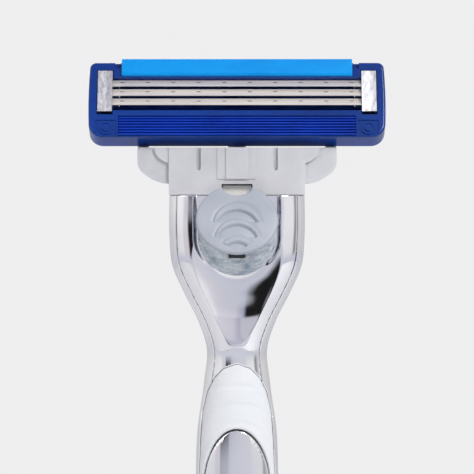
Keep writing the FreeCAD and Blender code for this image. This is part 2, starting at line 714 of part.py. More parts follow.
def cartridge_housing():
    """Blue frame round the blades, with bearings for the trunnions and the cam at its back."""
    window = box(-WINDOW_HALF_WIDTH, WINDOW_HALF_WIDTH, -1, HOUSING_DEPTH + 1, WINDOW_BOTTOM, WINDOW_TOP)
    cam_y, cam_z = cam_centre()
    nose = rod(CAM_RADIUS, (-CAM_HALF_WIDTH, cam_y, cam_z), (1, 0, 0), 2 * CAM_HALF_WIDTH)
    neck = box(-CAM_HALF_WIDTH, CAM_HALF_WIDTH, BAR_FRONT_Y, cam_y, cam_z - CAM_RADIUS, cam_z + CAM_RADIUS)
    housing = housing_blank().cut(window).multiFuse(rear_lattice() + [nose, neck])

    gap = 0.05
    strip_half = STRIP_HALF_WIDTH + gap
    fin_half = FIN_HALF_WIDTH + gap
    strip_bed = box(-strip_half, strip_half, -1, STRIP_BACK_Y + gap, STRIP_BOTTOM - gap, 20)
    bed_back, bed_low, bed_high = FIN_BED[1:]
    fin_bed = box(-fin_half, fin_half, -1, bed_back + gap, bed_low - gap, bed_high + gap)
    housing = housing.cut(strip_bed).cut(fin_bed)
    for side in (-1, 1):
        for cut in side_cuts_for(side):
            housing = housing.cut(cut)
    pad_x, pad_z = PAD_CENTRE
    for x in (-pad_x, pad_x):
        inner, outer = RING_RADII
        ring = rod(outer, (x, 0.0, pad_z), (0, 1, 0), 0.5).cut(rod(inner, (x, -1, pad_z), (0, 1, 0), 1.1))
        dome = rod(DOME_RADIUS, (x, -0.05, pad_z), (0, 1, 0), 0.5)
        housing = housing.multiFuse([ring, dome])
    return housing


def rear_lattice():
    """Bars and slats behind the blades; the water runs out between them."""
    bars = []
    for x in BAR_POSITIONS:
        bars.append((x - BAR_HALF_WIDTH, x + BAR_HALF_WIDTH))
    bars.append((-CAM_ROOT_HALF_WIDTH, CAM_ROOT_HALF_WIDTH))
    low = WINDOW_BOTTOM - 0.5
    high = WINDOW_TOP + 0.5
    lattice = [box(x0, x1, BAR_FRONT_Y, HOUSING_DEPTH, low, high) for x0, x1 in bars]
    reach = BAR_POSITIONS[-1] + BAR_HALF_WIDTH
    for index in range(BLADE_COUNT):
        edge_z = FIRST_EDGE_Z - index * BLADE_PITCH
        bottom = LOWEST_SLAT_BOTTOM if index == BLADE_COUNT - 1 else edge_z + SLAT_LOW
        top = edge_z + SLAT_HIGH
        lattice.append(box(-reach, reach, BAR_FRONT_Y, HOUSING_DEPTH, bottom, top))
        lattice.append(box(-SLAT_END_X, SLAT_END_X, SLAT_END_FRONT_Y, HOUSING_DEPTH, bottom, top))
    return lattice


def side_cuts_for(side):
    """Room at one end of the housing for clip, arm, trunnion and pad, and the notch by the strip."""
    inner = CLIP_INNER_X - 0.05
    outer = CLIP_OUTER_X + 0.05
    arm_pocket = box(ARM_INNER_X - 0.25, ARM_OUTER_X + 0.15, 0.9, 9, 0.25, 4.5)
    bore = rod(TRUNNION_RADIUS + BORE_CLEARANCE, (ARM_OUTER_X, PIVOT_Y, PIVOT_Z), (1, 0, 0), 1.5)
    clip_recess = box(inner - 0.07, outer + 0.07, -1, 0.3, CLIP_BOTTOM - 0.45, CLIP_TOP + 0.15)
    lower_slot = box(inner, outer, -1, 9, CLIP_BOTTOM - 0.45, WINDOW_BOTTOM + 0.05)
    upper_slot = box(inner, outer, -1, 9, CLIP_TOP - 0.25, CLIP_TOP + 0.05)
    horn_notch = box(16.3, 17.1, -1, 0.6, 10.4, 20)
    pad_x, pad_z = PAD_CENTRE
    wide, tall = PAD_HALF_SIZE
    pad = box(pad_x - wide, pad_x + wide, -1, PAD_DEPTH, pad_z - tall, pad_z + tall)
    cuts = [arm_pocket, bore, clip_recess, lower_slot, upper_slot, horn_notch, pad]
    if side < 0:
        cuts = [mirrored(cut) for cut in cuts]
    return cuts


def guard_fins():
    """Soft guard: a bed with low ridges across it."""
    bed = box(-FIN_HALF_WIDTH, FIN_HALF_WIDTH, *FIN_BED)
    fins = []
    for index in range(FIN_COUNT):
        z = FIRST_FIN_Z + index * FIN_PITCH
        points = [(0.3, z - 0.13), (-0.1, z - 0.06), (-0.1, z + 0.06), (0.3, z + 0.13)]
        fins.append(prism_along_x(points, -FIN_HALF_WIDTH, FIN_HALF_WIDTH))
    return bed.multiFuse(fins)


def lube_strip():
    """Lubricating strip, proud of the housing and rounded along its length."""
    half = STRIP_HALF_WIDTH
    strip = box(-half, half, STRIP_FRONT_Y, STRIP_BACK_Y, STRIP_BOTTOM, STRIP_TOP)
    front = [edge for edge in strip.Edges if edge.BoundBox.YMax < STRIP_FRONT_Y + 0.01]
    return strip.makeFillet(STRIP_EDGE_RADIUS, [edge for edge in front if edge.BoundBox.XLength > 1])


def blade_clip(side):
    """Metal band over the blades' ends, its legs through the housing and folded behind it."""
    back = HOUSING_DEPTH + CLIP_BACK_GAP
    thick = CLIP_THICKNESS
    front = CLIP_FRONT_Y
    low_foot, high_foot = CLIP_FOOT_LENGTHS
    band = box(CLIP_INNER_X, CLIP_OUTER_X, front, front + thick, CLIP_BOTTOM, CLIP_TOP)
    leg_heights = (CLIP_BOTTOM, CLIP_TOP - thick)
    legs = [box(CLIP_INNER_X, CLIP_OUTER_X, front, back + thick, z, z + thick) for z in leg_heights]
    foot_low = box(CLIP_INNER_X, CLIP_OUTER_X, back, back + thick, CLIP_BOTTOM - low_foot, CLIP_BOTTOM + thick)
    foot_high = box(CLIP_INNER_X, CLIP_OUTER_X, back, back + thick, CLIP_TOP - thick, CLIP_TOP + high_foot)
    clip = band.multiFuse(legs + [foot_low, foot_high])
    return mirrored(clip) if side < 0 else clip


def blade_springs(side):
    """Comb of fingers behind one end of the three blades."""
    inner, outer = SPRING_SPINE
    front = SPRING_FRONT_Y
    low, high = FINGER_SPAN
    spine = box(inner, outer, front, SPRING_BACK_Y, WINDOW_BOTTOM + 0.05, WINDOW_TOP - 0.05)
    fingers = []
    for index in range(BLADE_COUNT):
        z = support_base_z(index)
        fingers.append(box(FINGER_START_X, inner, front, front + FINGER_THICKNESS, z + low, z + high))
    comb = spine.multiFuse(fingers)
    return mirrored(comb) if side < 0 else comb


def edge_line(index, along, inward):
    """Point (y, z) on a blade, measured from its cutting edge up the blade and into the cartridge."""
    tilt = math.radians(EDGE_TILT)
    y = EDGE_Y + along * math.sin(tilt) + inward * math.cos(tilt)
    z = FIRST_EDGE_Z - index * BLADE_PITCH + along * math.cos(tilt) - inward * math.sin(tilt)
    return y, z


def support_base_z(index):
    """Height of the upper side of a support's base, which runs straight into the cartridge."""
    return edge_line(index, EDGE_WIDTH, EDGE_THICKNESS)[1]


def blade_edge(index):
    """Thin strip ground to an edge."""
    points = [
        edge_line(index, 0, 0.0),
        edge_line(index, EDGE_WIDTH, 0.0),
        edge_line(index, EDGE_WIDTH, EDGE_THICKNESS),
        edge_line(index, 0.3, EDGE_THICKNESS),
    ]
    return prism_along_x(points, -BLADE_HALF_LENGTH, BLADE_HALF_LENGTH)


def blade_support(index):
    """Bent steel strip under a blade: a platform along the blade and a base into the cartridge."""
    base_z = support_base_z(index)
    under_z = base_z - SUPPORT_THICKNESS
    depth = EDGE_THICKNESS + SUPPORT_THICKNESS
    tilt = math.radians(EDGE_TILT)
    along = (under_z - edge_line(index, 0, depth)[1]) / math.cos(tilt)
    points = [
        edge_line(index, SUPPORT_SETBACK, EDGE_THICKNESS),
        edge_line(index, EDGE_WIDTH, EDGE_THICKNESS),
        (SUPPORT_BACK_Y, base_z),
        (SUPPORT_BACK_Y, under_z),
        edge_line(index, along, depth),
        edge_line(index, SUPPORT_SETBACK, depth),
    ]
    return prism_along_x(points, -BLADE_HALF_LENGTH, BLADE_HALF_LENGTH)


# ---- write every piece ----


def all_pieces():
    front_shell, rear_shell, front_grip, rear_grip, butt_cap = handle_pieces()
    plunger = rod(PLUNGER_RADIUS, (0, PLUNGER_Y, PLUNGER_BOTTOM), (0, 0, 1), PLUNGER_TOP - PLUNGER_BOTTOM)
    pieces = {
        "front_shell": front_shell,
        "rear_shell": rear_shell,
        "front_grip": front_grip,
        "rear_grip": rear_grip,
        "butt_cap": butt_cap,
        "head_insert": head_insert(),
        "insert_pin": insert_pin(),
        "core_bar": core_bar(),
        "shell_screws": screw_set(),
        "plunger": plunger,
        "plunger_spring": plunger_spring(),
        "button_spring": button_spring(),
        "button_cap": button_cap(),
        "button_skirt": button_skirt(),
        "ejector_slide": ejector_slide(),
        "connector_frame": connector_frame(),
        "cartridge_housing": in_cartridge(cartridge_housing()),
        "guard_fins": in_cartridge(guard_fins()),
        "lube_strip": in_cartridge(lube_strip()),
        "left_clip": in_cartridge(blade_clip(-1)),
        "right_clip": in_cartridge(blade_clip(1)),
        "left_blade_springs": in_cartridge(blade_springs(-1)),
        "right_blade_springs": in_cartridge(blade_springs(1)),
    }
    for index in range(BLADE_COUNT):
        pieces[f"blade_support_{index + 1}"] = in_cartridge(blade_support(index))
        pieces[f"blade_edge_{index + 1}"] = in_cartridge(blade_edge(index))
    return pieces


os.makedirs("parts", exist_ok=True)
for name, shape in all_pieces().items():
    shape.exportStep(f"parts/{name}.step")
    print(f"{name}: {len(shape.Solids)} solid, {shape.Volume:.2f} mm3, valid {shape.isValid()}")
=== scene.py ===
import json
import math

import bmesh
import bpy
import numpy as np
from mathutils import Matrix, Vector


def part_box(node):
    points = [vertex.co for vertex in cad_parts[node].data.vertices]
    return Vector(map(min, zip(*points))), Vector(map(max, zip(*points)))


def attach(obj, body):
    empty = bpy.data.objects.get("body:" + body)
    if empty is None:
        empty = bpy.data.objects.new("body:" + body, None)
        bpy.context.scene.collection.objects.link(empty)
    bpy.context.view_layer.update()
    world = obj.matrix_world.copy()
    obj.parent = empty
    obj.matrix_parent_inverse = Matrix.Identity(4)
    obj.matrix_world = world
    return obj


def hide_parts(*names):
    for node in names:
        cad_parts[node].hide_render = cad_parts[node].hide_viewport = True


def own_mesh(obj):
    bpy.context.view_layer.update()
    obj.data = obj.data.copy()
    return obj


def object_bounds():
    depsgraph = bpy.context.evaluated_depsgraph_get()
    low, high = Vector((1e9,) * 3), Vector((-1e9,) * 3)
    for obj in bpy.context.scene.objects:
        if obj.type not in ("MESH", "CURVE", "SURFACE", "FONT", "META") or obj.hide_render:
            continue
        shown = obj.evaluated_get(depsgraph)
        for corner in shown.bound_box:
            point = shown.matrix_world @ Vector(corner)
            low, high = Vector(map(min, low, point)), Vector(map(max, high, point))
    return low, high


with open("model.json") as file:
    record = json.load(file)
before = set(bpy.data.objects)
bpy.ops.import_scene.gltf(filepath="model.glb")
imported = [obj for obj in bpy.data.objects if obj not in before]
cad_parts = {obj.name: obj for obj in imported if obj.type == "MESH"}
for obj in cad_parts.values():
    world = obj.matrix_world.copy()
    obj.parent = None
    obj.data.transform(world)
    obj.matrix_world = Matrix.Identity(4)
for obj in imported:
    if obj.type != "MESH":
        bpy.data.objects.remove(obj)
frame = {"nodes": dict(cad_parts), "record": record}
cad_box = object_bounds()
MM = 0.001

# ---- sizes read from the frame ----
SHELL_LOW, SHELL_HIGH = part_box("rear_shell")
GRIP_LOW, GRIP_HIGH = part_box("front_grip")
BUTTON_LOW, BUTTON_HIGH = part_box("button_cap")
HANDLE_TOP = SHELL_HIGH.z / MM
CAP_TOP = SHELL_LOW.z / MM
GRIP_TOP = GRIP_HIGH.z / MM
GRIP_BOTTOM = GRIP_LOW.z / MM
REAR_GRIP_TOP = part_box("rear_grip")[1].z / MM

# ---- the handle's form in millimetres, as the CAD shells have it ----
# height, half width, centre in y, half depth, roundness exponent
SECTIONS = np.array([
    (0.0, 4.5, 0.0, 4.1, 2.2),
    (15.0, 5.3, 0.9, 4.7, 2.2),
    (32.0, 5.95, 1.9, 5.0, 2.2),
    (50.0, 6.3, 2.4, 5.1, 2.2),
    (68.0, 6.2, 2.2, 5.0, 2.2),
    (83.0, 5.85, 1.5, 4.8, 2.2),
    (91.0, 5.55, 1.0, 4.6, 2.2),
    (97.5, 4.65, 0.6, 4.35, 2.2),
    (102.5, 4.3, 0.3, 4.3, 2.3),
    (106.2, 5.5, 0.1, 4.55, 2.5),
    (110.0, 7.4, -0.1, 5.0, 2.9),
    (114.0, 9.1, -0.2, 5.3, 3.3),
    (118.0, 9.5, -0.2, 5.35, 3.6),
    (HANDLE_TOP, 9.5, -0.2, 5.35, 3.6),
])
SEAM_INSET = 1.03
SEAM_GAP = 0.09
# width of the chromed band between the front and the rear grip
SIDE_BAND = 2.2
SHELL_WALL, SHELL_RIM = 0.9, 0.12

# the front grip: its arch is (height, half width) from the top down, then opens to full width
GRIP_WALL, GRIP_RIM = 1.0, 0.3
GRIP_SIDE_INSET = 0.25
GRIP_ARCH = np.array([
    (GRIP_TOP, 0.0),
    (99.6, 1.9),
    (98.2, 3.3),
    (96.2, 4.3),
    (93.5, 4.95),
    (90.0, 5.2),
])
GRIP_WIDENING = 7.0
ARCH_RADIUS = 4.6
ARCH_SLACK = 3.0
ARCH_SIDE_SLOPE = 0.8
REAR_GRIP_WIDTH_FROM = 89.0

# the egg-shaped window, and the shallow arcs pressed into the rubber above it
OVAL_CENTRE_Z = 82.6
OVAL_HALF_WIDTH = 4.9
OVAL_TOP = 8.5
OVAL_BOTTOM = 24.0
OVAL_GROOVE = 0.25
RELIEF_DISTANCES = (1.0, 3.4, 6.0)
RELIEF_HALF_WIDTH = 0.45
RELIEF_DEPTH = 0.06
RELIEF_FADE = 4.0
RELIEF_RIM_FADE = 0.5

# the button's well, and the opening for the slide behind it
WELL_HALF_WIDTH = 6.0
WELL_CENTRE_Z = 118.0
WELL_FLOOR_Y = -4.7
WELL_EDGE = 0.4
WELL_EDGE_REACH = 20
WELL_EDGE_CURVE = 2.5
WELL_CORNER = 0.2
SLIDE_OPENING_HALF_WIDTH = 1.7
SLIDE_OPENING_BOTTOM = 116.6
# dish round the button: height, half width and depth, from the neck up to the head
DISH = np.array([
    (102.8, 2.6, 0.0),
    (104.5, 3.0, 0.4),
    (107.0, 4.5, 0.95),
    (110.0, 6.1, 1.3),
    (112.5, 7.3, 1.35),
    (115.0, 8.1, 1.1),
    (117.5, 7.9, 0.6),
    (120.0, 6.9, 0.15),
    (122.0, 6.2, 0.0),
])
DISH_CORNER = 0.12

# end cap
CAP_EDGE_RADIUS = 1.0
CAP_EDGE_STEPS = 8
CAP_MIDDLE_Z = 2.6
CAP_FACE_INSET = 2.5
CAP_SPOKES = 160

# heights above which the skins have finer rows
SHELL_DETAIL_FROM = 90
GRIP_DETAIL_FROM = 80

# ---- blades in the cartridge's own frame, in millimetres ----
FACE_EDGE_Y, FACE_EDGE_Z = -5.5, 131.9
FACE_TILT = math.radians(22.0)
EDGE_TILT = math.radians(24.0)
EDGE_Y = 0.15
FIRST_EDGE_Z = 7.72
BLADE_PITCH = 1.435


# ---- node helpers ----


def new_material(name):
    """An empty node material with its Principled shader."""
    material = bpy.data.materials.new(name)
    material.use_nodes = True
    return material, material.node_tree, material.node_tree.nodes["Principled BSDF"]


def set_shader(shader, **values):
    for name, value in values.items():
        shader.inputs[name.replace("_", " ")].default_value = value


def add(tree, kind, **settings):
    node = tree.nodes.new(kind)
    for name, value in settings.items():
        if name in node.inputs:
            node.inputs[name].default_value = value
        else:
            setattr(node, name, value)
    return node


def object_coordinates(tree, scale=(1, 1, 1)):
    """Object coordinates stretched by a scale, for grain that follows the piece."""
    place = add(tree, "ShaderNodeTexCoord")
    stretch = add(tree, "ShaderNodeMapping")
    stretch.inputs["Scale"].default_value = scale
    tree.links.new(place.outputs["Object"], stretch.inputs["Vector"])
    return stretch.outputs["Vector"]


def noise(tree, scale, detail, stretch=(1, 1, 1), roughness=0.5):
    node = add(tree, "ShaderNodeTexNoise", Scale=scale, Detail=detail, Roughness=roughness)
    tree.links.new(object_coordinates(tree, stretch), node.inputs["Vector"])
    return node.outputs["Fac"]


def ramp(tree, source, stops):
    """Colour ramp from (position, colour) stops; a colour may be one grey number."""
    node = add(tree, "ShaderNodeValToRGB")
    elements = node.color_ramp.elements
    while len(elements) < len(stops):
        elements.new(0.5)
    for element, (position, colour) in zip(elements, stops):
        element.position = position
        element.color = (colour,) * 3 + (1,) if isinstance(colour, float) else (*colour, 1)
    tree.links.new(source, node.inputs["Fac"])
    return node.outputs["Color"]


def bump(tree, shader, height, distance, strength):
    node = add(tree, "ShaderNodeBump", Strength=strength, Distance=distance)
    tree.links.new(height, node.inputs["Height"])
    tree.links.new(node.outputs["Normal"], shader.inputs["Normal"])


def tint(tree, shader, source, dark, light, low=0.35, high=0.65):
    """Base colour that wanders between two close colours."""
    tree.links.new(ramp(tree, source, [(low, dark), (high, light)]), shader.inputs["Base Color"])


def roughen(tree, shader, source, *stops):
    """Roughness that follows a pattern."""
    tree.links.new(ramp(tree, source, stops), shader.inputs["Roughness"])


# ---- materials ----


def chrome_material():
    material, tree, shader = new_material("chrome")
    set_shader(shader, Metallic=1.0, Roughness=0.05)
    tint(tree, shader, noise(tree, 60, 3), (0.78, 0.78, 0.82), (0.88, 0.88, 0.90))
    wear = noise(tree, 900, 6, (1, 1, 0.2), 0.65)
    roughen(tree, shader, wear, (0.3, 0.03), (0.62, 0.06), (0.8, 0.13))
    bump(tree, shader, noise(tree, 45, 2), 0.00002, 0.25)
    return material


def grip_material():
    material, tree, shader = new_material("grip_rubber")
    set_shader(shader, Roughness=0.62, Sheen_Weight=0.15, Sheen_Roughness=0.5)
    set_shader(shader, Subsurface_Weight=0.12)
    set_shader(shader, Subsurface_Radius=(0.0012, 0.001, 0.001), Subsurface_Scale=1.0)
    tint(tree, shader, noise(tree, 70, 5), (0.80, 0.82, 0.85), (0.87, 0.88, 0.90))
    grain = noise(tree, 5200, 3)
    roughen(tree, shader, grain, (0.3, 0.55), (0.7, 0.72))
    bump(tree, shader, grain, 0.00003, 0.5)
    return material


def button_material():
    material, tree, shader = new_material("button_plastic")
    set_shader(shader, Roughness=0.42, Subsurface_Weight=0.08)
    set_shader(shader, Subsurface_Radius=(0.0006, 0.0007, 0.0009), Subsurface_Scale=1.0)
    tint(tree, shader, noise(tree, 160, 5), (0.37, 0.40, 0.46), (0.44, 0.47, 0.53))
    grain = noise(tree, 7000, 2)
    roughen(tree, shader, grain, (0.3, 0.38), (0.7, 0.52))
    bump(tree, shader, grain, 0.00002, 0.5)
    return material


def skirt_material():
    material, tree, shader = new_material("skirt_plastic")
    set_shader(shader, Roughness=0.14, IOR=1.47, Transmission_Weight=0.35, Subsurface_Weight=0.2)
    set_shader(shader, Subsurface_Radius=(0.0004, 0.0005, 0.0007), Subsurface_Scale=1.0)
    crinkle = noise(tree, 620, 6, (0.45, 1, 1.3), 0.7)
    tint(tree, shader, crinkle, (0.28, 0.38, 0.50), (0.90, 0.95, 1.0), 0.36, 0.6)
    bump(tree, shader, crinkle, 0.0003, 0.8)
    return material


def connector_material():
    material, tree, shader = new_material("connector_plastic")
    set_shader(shader, Roughness=0.34, Subsurface_Weight=0.35, Coat_Weight=0.15, Coat_Roughness=0.2)
    set_shader(shader, Subsurface_Radius=(0.0014, 0.0015, 0.0017), Subsurface_Scale=1.0)
    tint(tree, shader, noise(tree, 130, 4), (0.54, 0.54, 0.57), (0.63, 0.63, 0.66))
    grain = noise(tree, 3600, 3)
    roughen(tree, shader, grain, (0.3, 0.3), (0.7, 0.42))
    bump(tree, shader, grain, 0.00002, 0.4)
    return material


def housing_material():
    material, tree, shader = new_material("housing_plastic")
    set_shader(shader, Roughness=0.2, Subsurface_Weight=0.15, Coat_Weight=0.12, Coat_Roughness=0.08)
    set_shader(shader, Specular_IOR_Level=0.2)
    set_shader(shader, Subsurface_Radius=(0.0002, 0.0005, 0.0012), Subsurface_Scale=1.0)
    tint(tree, shader, noise(tree, 110, 4), (0.001, 0.026, 0.18), (0.002, 0.038, 0.26))
    grain = noise(tree, 2600, 4)
    roughen(tree, shader, grain, (0.3, 0.16), (0.7, 0.27))
    bump(tree, shader, noise(tree, 500, 3), 0.00003, 0.3)
    return material


def guard_material():
    material, tree, shader = new_material("guard_rubber")
    set_shader(shader, Roughness=0.45, Sheen_Weight=0.03, Specular_IOR_Level=0.2)
    tint(tree, shader, noise(tree, 220, 4), (0.001, 0.040, 0.40), (0.002, 0.056, 0.50))
    grain = noise(tree, 4200, 3)
    roughen(tree, shader, grain, (0.3, 0.38), (0.7, 0.55))
    bump(tree, shader, grain, 0.00002, 0.5)
    return material


def strip_material():
    material, tree, shader = new_material("strip")
    set_shader(shader, Roughness=0.4, Subsurface_Weight=0.2, Specular_IOR_Level=0.15)
    set_shader(shader, Subsurface_Radius=(0.0006, 0.0009, 0.0012), Subsurface_Scale=1.0)
    streaks = noise(tree, 260, 5, (0.25, 1, 1), 0.6)
    tint(tree, shader, streaks, (0.0, 0.25, 0.70), (0.003, 0.34, 0.84), 0.3, 0.7)
    grain = noise(tree, 2400, 4, (0.4, 1, 1))
    roughen(tree, shader, grain, (0.3, 0.32), (0.7, 0.5))
    bump(tree, shader, grain, 0.00004, 0.4)
    return material


def clip_material():
    material, tree, shader = new_material("clip_metal")
    set_shader(shader, Metallic=1.0, Roughness=0.32, Anisotropic=0.5)
    brushed = noise(tree, 3000, 5, (1, 1, 0.03), 0.7)
    tint(tree, shader, brushed, (0.33, 0.33, 0.35), (0.55, 0.55, 0.57), 0.3, 0.7)
    roughen(tree, shader, brushed, (0.3, 0.25), (0.7, 0.42))
    bump(tree, shader, brushed, 0.00002, 0.4)
    return material


def blade_material():
    material, tree, shader = new_material("blade_steel")
    set_shader(shader, Metallic=0.35, Roughness=0.42)
    ground = noise(tree, 3500, 4, (0.02, 1, 1), 0.6)
    tint(tree, shader, ground, (0.62, 0.58, 0.56), (0.82, 0.78, 0.75), 0.3, 0.7)
    roughen(tree, shader, ground, (0.3, 0.22), (0.7, 0.4))
    bump(tree, shader, ground, 0.00001, 0.4)
    return material


def steel_material():
    material, tree, shader = new_material("steel")
    set_shader(shader, Metallic=1.0, Roughness=0.28)
    drawn = noise(tree, 1800, 4, (1, 1, 0.1))
    tint(tree, shader, drawn, (0.5, 0.5, 0.51), (0.66, 0.66, 0.67))
    roughen(tree, shader, drawn, (0.3, 0.2), (0.7, 0.38))
    return material


def moulded_material(name, dark, light, rough):
    """Plain moulded plastic with a fine grain."""
    material, tree, shader = new_material(name)
    set_shader(shader, Roughness=rough)
    tint(tree, shader, noise(tree, 180, 4), dark, light)
    grain = noise(tree, 3800, 3)
    roughen(tree, shader, grain, (0.3, rough - 0.05), (0.7, rough + 0.08))
    bump(tree, shader, grain, 0.00002, 0.4)
    return material


MATERIALS = {
    "chrome": chrome_material(),
    "grip_rubber": grip_material(),
    "button_plastic": button_material(),
    "skirt_plastic": skirt_material(),
    "connector_plastic": connector_material(),
    "housing_plastic": housing_material(),
    "guard_rubber": guard_material(),
    "strip": strip_material(),
    "clip_metal": clip_material(),
    "blade_steel": blade_material(),
    "steel": steel_material(),
}
# name, dark and light end of the colour, roughness
for moulded in (
    ("insert_plastic", (0.12, 0.13, 0.15), (0.16, 0.17, 0.20), 0.45),
    ("plunger_plastic", (0.70, 0.70, 0.69), (0.80, 0.80, 0.78), 0.35),
    ("slide_plastic", (0.90, 0.88, 0.83), (0.96, 0.94, 0.90), 0.25),
    ("finger_plastic", (0.012, 0.07, 0.24), (0.02, 0.09, 0.30), 0.35),
):
    MATERIALS[moulded[0]] = moulded_material(*moulded)


def weld_material():
    material, tree, shader = new_material("weld_steel")
    set_shader(shader, Metallic=1.0, Roughness=0.5)
    tint(tree, shader, noise(tree, 4000, 3), (0.10, 0.09, 0.08), (0.24, 0.22, 0.20))
    return material


WELD_STEEL = weld_material()
# near-black colour of the insert in the skirt's opening: painted shade for the shadowed inside of
# the opening
PAINTED_SLOT_SHADE = moulded_material("slot_shade_paint", (0.006, 0.008, 0.012), (0.012, 0.015, 0.021), 0.5)


# ---- mesh helpers ----


def turn_outwards(mesh):
    """Makes the faces of a closed mesh look outwards."""
    work = bmesh.new()
    work.from_mesh(mesh)
    bmesh.ops.recalc_face_normals(work, faces=work.faces)
    work.to_mesh(mesh)
    work.free()


def make_piece(name, vertices, faces, body, slot, replaced=(), closed=True):
    """A smooth-shaded mesh, given in millimetres, that rides on a body and has a slot's finish."""
    mesh = bpy.data.meshes.new(name)
    points = np.array([tuple(vertex) for vertex in vertices]) * MM
    mesh.from_pydata([tuple(point) for point in points], [], faces)
    mesh.validate()
    if closed:
        turn_outwards(mesh)
    mesh.shade_smooth()
    mesh.materials.append(MATERIALS[slot])
    piece = bpy.data.objects.new(name, mesh)
    bpy.context.scene.collection.objects.link(piece)
    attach(piece, body)
    if replaced:
        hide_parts(*replaced)
    return piece


def solidify(piece, thickness):
    """Thickness inwards from the drawn surface, in millimetres."""
    modifier = piece.modifiers.new("wall", "SOLIDIFY")
    modifier.thickness = thickness * MM
    modifier.offset = -1
    modifier.use_even_offset = True


def ring_faces(rings, spokes):
    """Quads between rings of points, each ring closed on itself."""
    faces = []
    for ring in range(rings - 1):
        here, there = ring * spokes, (ring + 1) * spokes
        for k in range(spokes):
            after = (k + 1) % spokes
            faces.append([here + k, here + after, there + after, there + k])
    return faces


def tube_faces(rings, spokes):
    """Quads between rings of points, and a face over each end."""
    last = (rings - 1) * spokes
    ends = [list(reversed(range(spokes))), list(range(last, last + spokes))]
    return ring_faces(rings, spokes) + ends


def smooth_step(value):
    return value * value * (3 - 2 * value)


def smooth_max(a, b, softness):
    """Larger of two values with a rounded corner between them."""
    blend = np.clip(0.5 + 0.5 * (a - b) / softness, 0, 1)
    return b + (a - b) * blend + softness * blend * (1 - blend)


def smooth_table(table, z, column):
    """Cubic through one column of a table whose first column is the height."""
    heights = table[:, 0]
    values = table[:, column]
    slopes = np.gradient(values, heights)
    index = np.clip(np.searchsorted(heights, z, side="right") - 1, 0, len(heights) - 2)
    span = heights[index + 1] - heights[index]
    t = np.clip((z - heights[index]) / span, 0, 1)
    low, high = values[index], values[index + 1]
    low_slope, high_slope = slopes[index] * span, slopes[index + 1] * span
    start = (2 * t**3 - 3 * t**2 + 1) * low + (t**3 - 2 * t**2 + t) * low_slope
    return start + (3 * t**2 - 2 * t**3) * high + (t**3 - t**2) * high_slope


def rim_drop(field, radius):
    """How far a surface rolls over near its edge, for an edge of a given radius."""
    inside = np.clip(radius - field, 0, radius)
    return radius - np.sqrt(np.maximum(radius**2 - inside**2, 0))


# ---- the handle's surface and outlines, in millimetres ----


def section(z, column):
    return smooth_table(SECTIONS, z, column)


def signed_power(value, power):
    return np.sign(value) * np.abs(value) ** power


def handle_surface(z, angle, inset=0.0):
    """Point on the handle; angle 0 is -Y (front) and grows towards +X."""
    power = 2 / section(z, 4)
    x = (section(z, 1) - inset) * signed_power(np.sin(angle), power)
    y = section(z, 2) - (section(z, 3) - inset) * signed_power(np.cos(angle), power)
    return np.stack([x, y, z], axis=-1)


def inward_normal(z, angle):
    """Unit vectors pointing into the handle, from the surface's slopes."""
    step = 0.01
    along = handle_surface(z + step, angle) - handle_surface(z - step, angle)
    around = handle_surface(z, angle + step) - handle_surface(z, angle - step)
    normal = np.cross(along, around)
    normal /= np.maximum(np.linalg.norm(normal, axis=1, keepdims=True), 1e-9)
    centre = np.stack([np.zeros_like(z), section(z, 2), z], axis=-1)
    inward = centre - handle_surface(z, angle)
    return normal * np.sign(np.sum(normal * inward, axis=1, keepdims=True))


def seam_half_width(z):
    return section(z, 1) - SEAM_INSET


def grip_half_width(z):
    """Half width of the front grip's outline: an arch, then nearly the handle's width."""
    arch = np.interp(-z, -GRIP_ARCH[:, 0], GRIP_ARCH[:, 1])
    arch = np.where(z > GRIP_TOP, -1.0, arch)
    wide = section(z, 1) - GRIP_SIDE_INSET
    share = np.clip((GRIP_ARCH[-1, 0] - z) / GRIP_WIDENING, 0, 1)
    return np.where(z > GRIP_ARCH[-1, 0], arch, arch * (1 - share) + wide * share)


def arch_field(point):
    """Roughly how far a point lies inside the front grip's outline."""
    x, z = point[..., 0], point[..., 2]
    arch = ARCH_RADIUS - np.hypot(x, np.maximum(z - (GRIP_TOP - ARCH_RADIUS), 0))
    side = grip_half_width(z) - np.abs(x)
    rounded = np.minimum(side * ARCH_SIDE_SLOPE, arch + ARCH_SLACK)
    outline = np.where(z > GRIP_ARCH[-1, 0], rounded, side)
    return np.minimum(outline, np.minimum(GRIP_TOP - z, z - GRIP_BOTTOM))


def oval_field(point):
    """Roughly how far a point lies outside the egg-shaped window."""
    x, z = point[..., 0], point[..., 2] - OVAL_CENTRE_Z
    reach = np.where(z > 0, OVAL_TOP, OVAL_BOTTOM)
    level = np.hypot(x / OVAL_HALF_WIDTH, z / reach)
    slope = np.hypot(x / OVAL_HALF_WIDTH**2, z / reach**2) / np.maximum(level, 1e-6)
    return (level - 1) / np.maximum(slope, 1e-6)


def front_depth(point):
    """How far a point lies in front of the side band."""
    return section(point[..., 2], 2) - SIDE_BAND / 2 - point[..., 1]


def rear_field(point):
    """Roughly how far a point lies inside the rear grip's outline, behind the side band."""
    x, y, z = point[..., 0], point[..., 1], point[..., 2]
    side = grip_half_width(np.minimum(z, REAR_GRIP_WIDTH_FROM)) - np.abs(x)
    behind = y - section(z, 2) - SIDE_BAND / 2
    return np.minimum(np.minimum(side, REAR_GRIP_TOP - z), np.minimum(z - GRIP_BOTTOM, behind))


# ---- skins cut out of the handle's surface ----


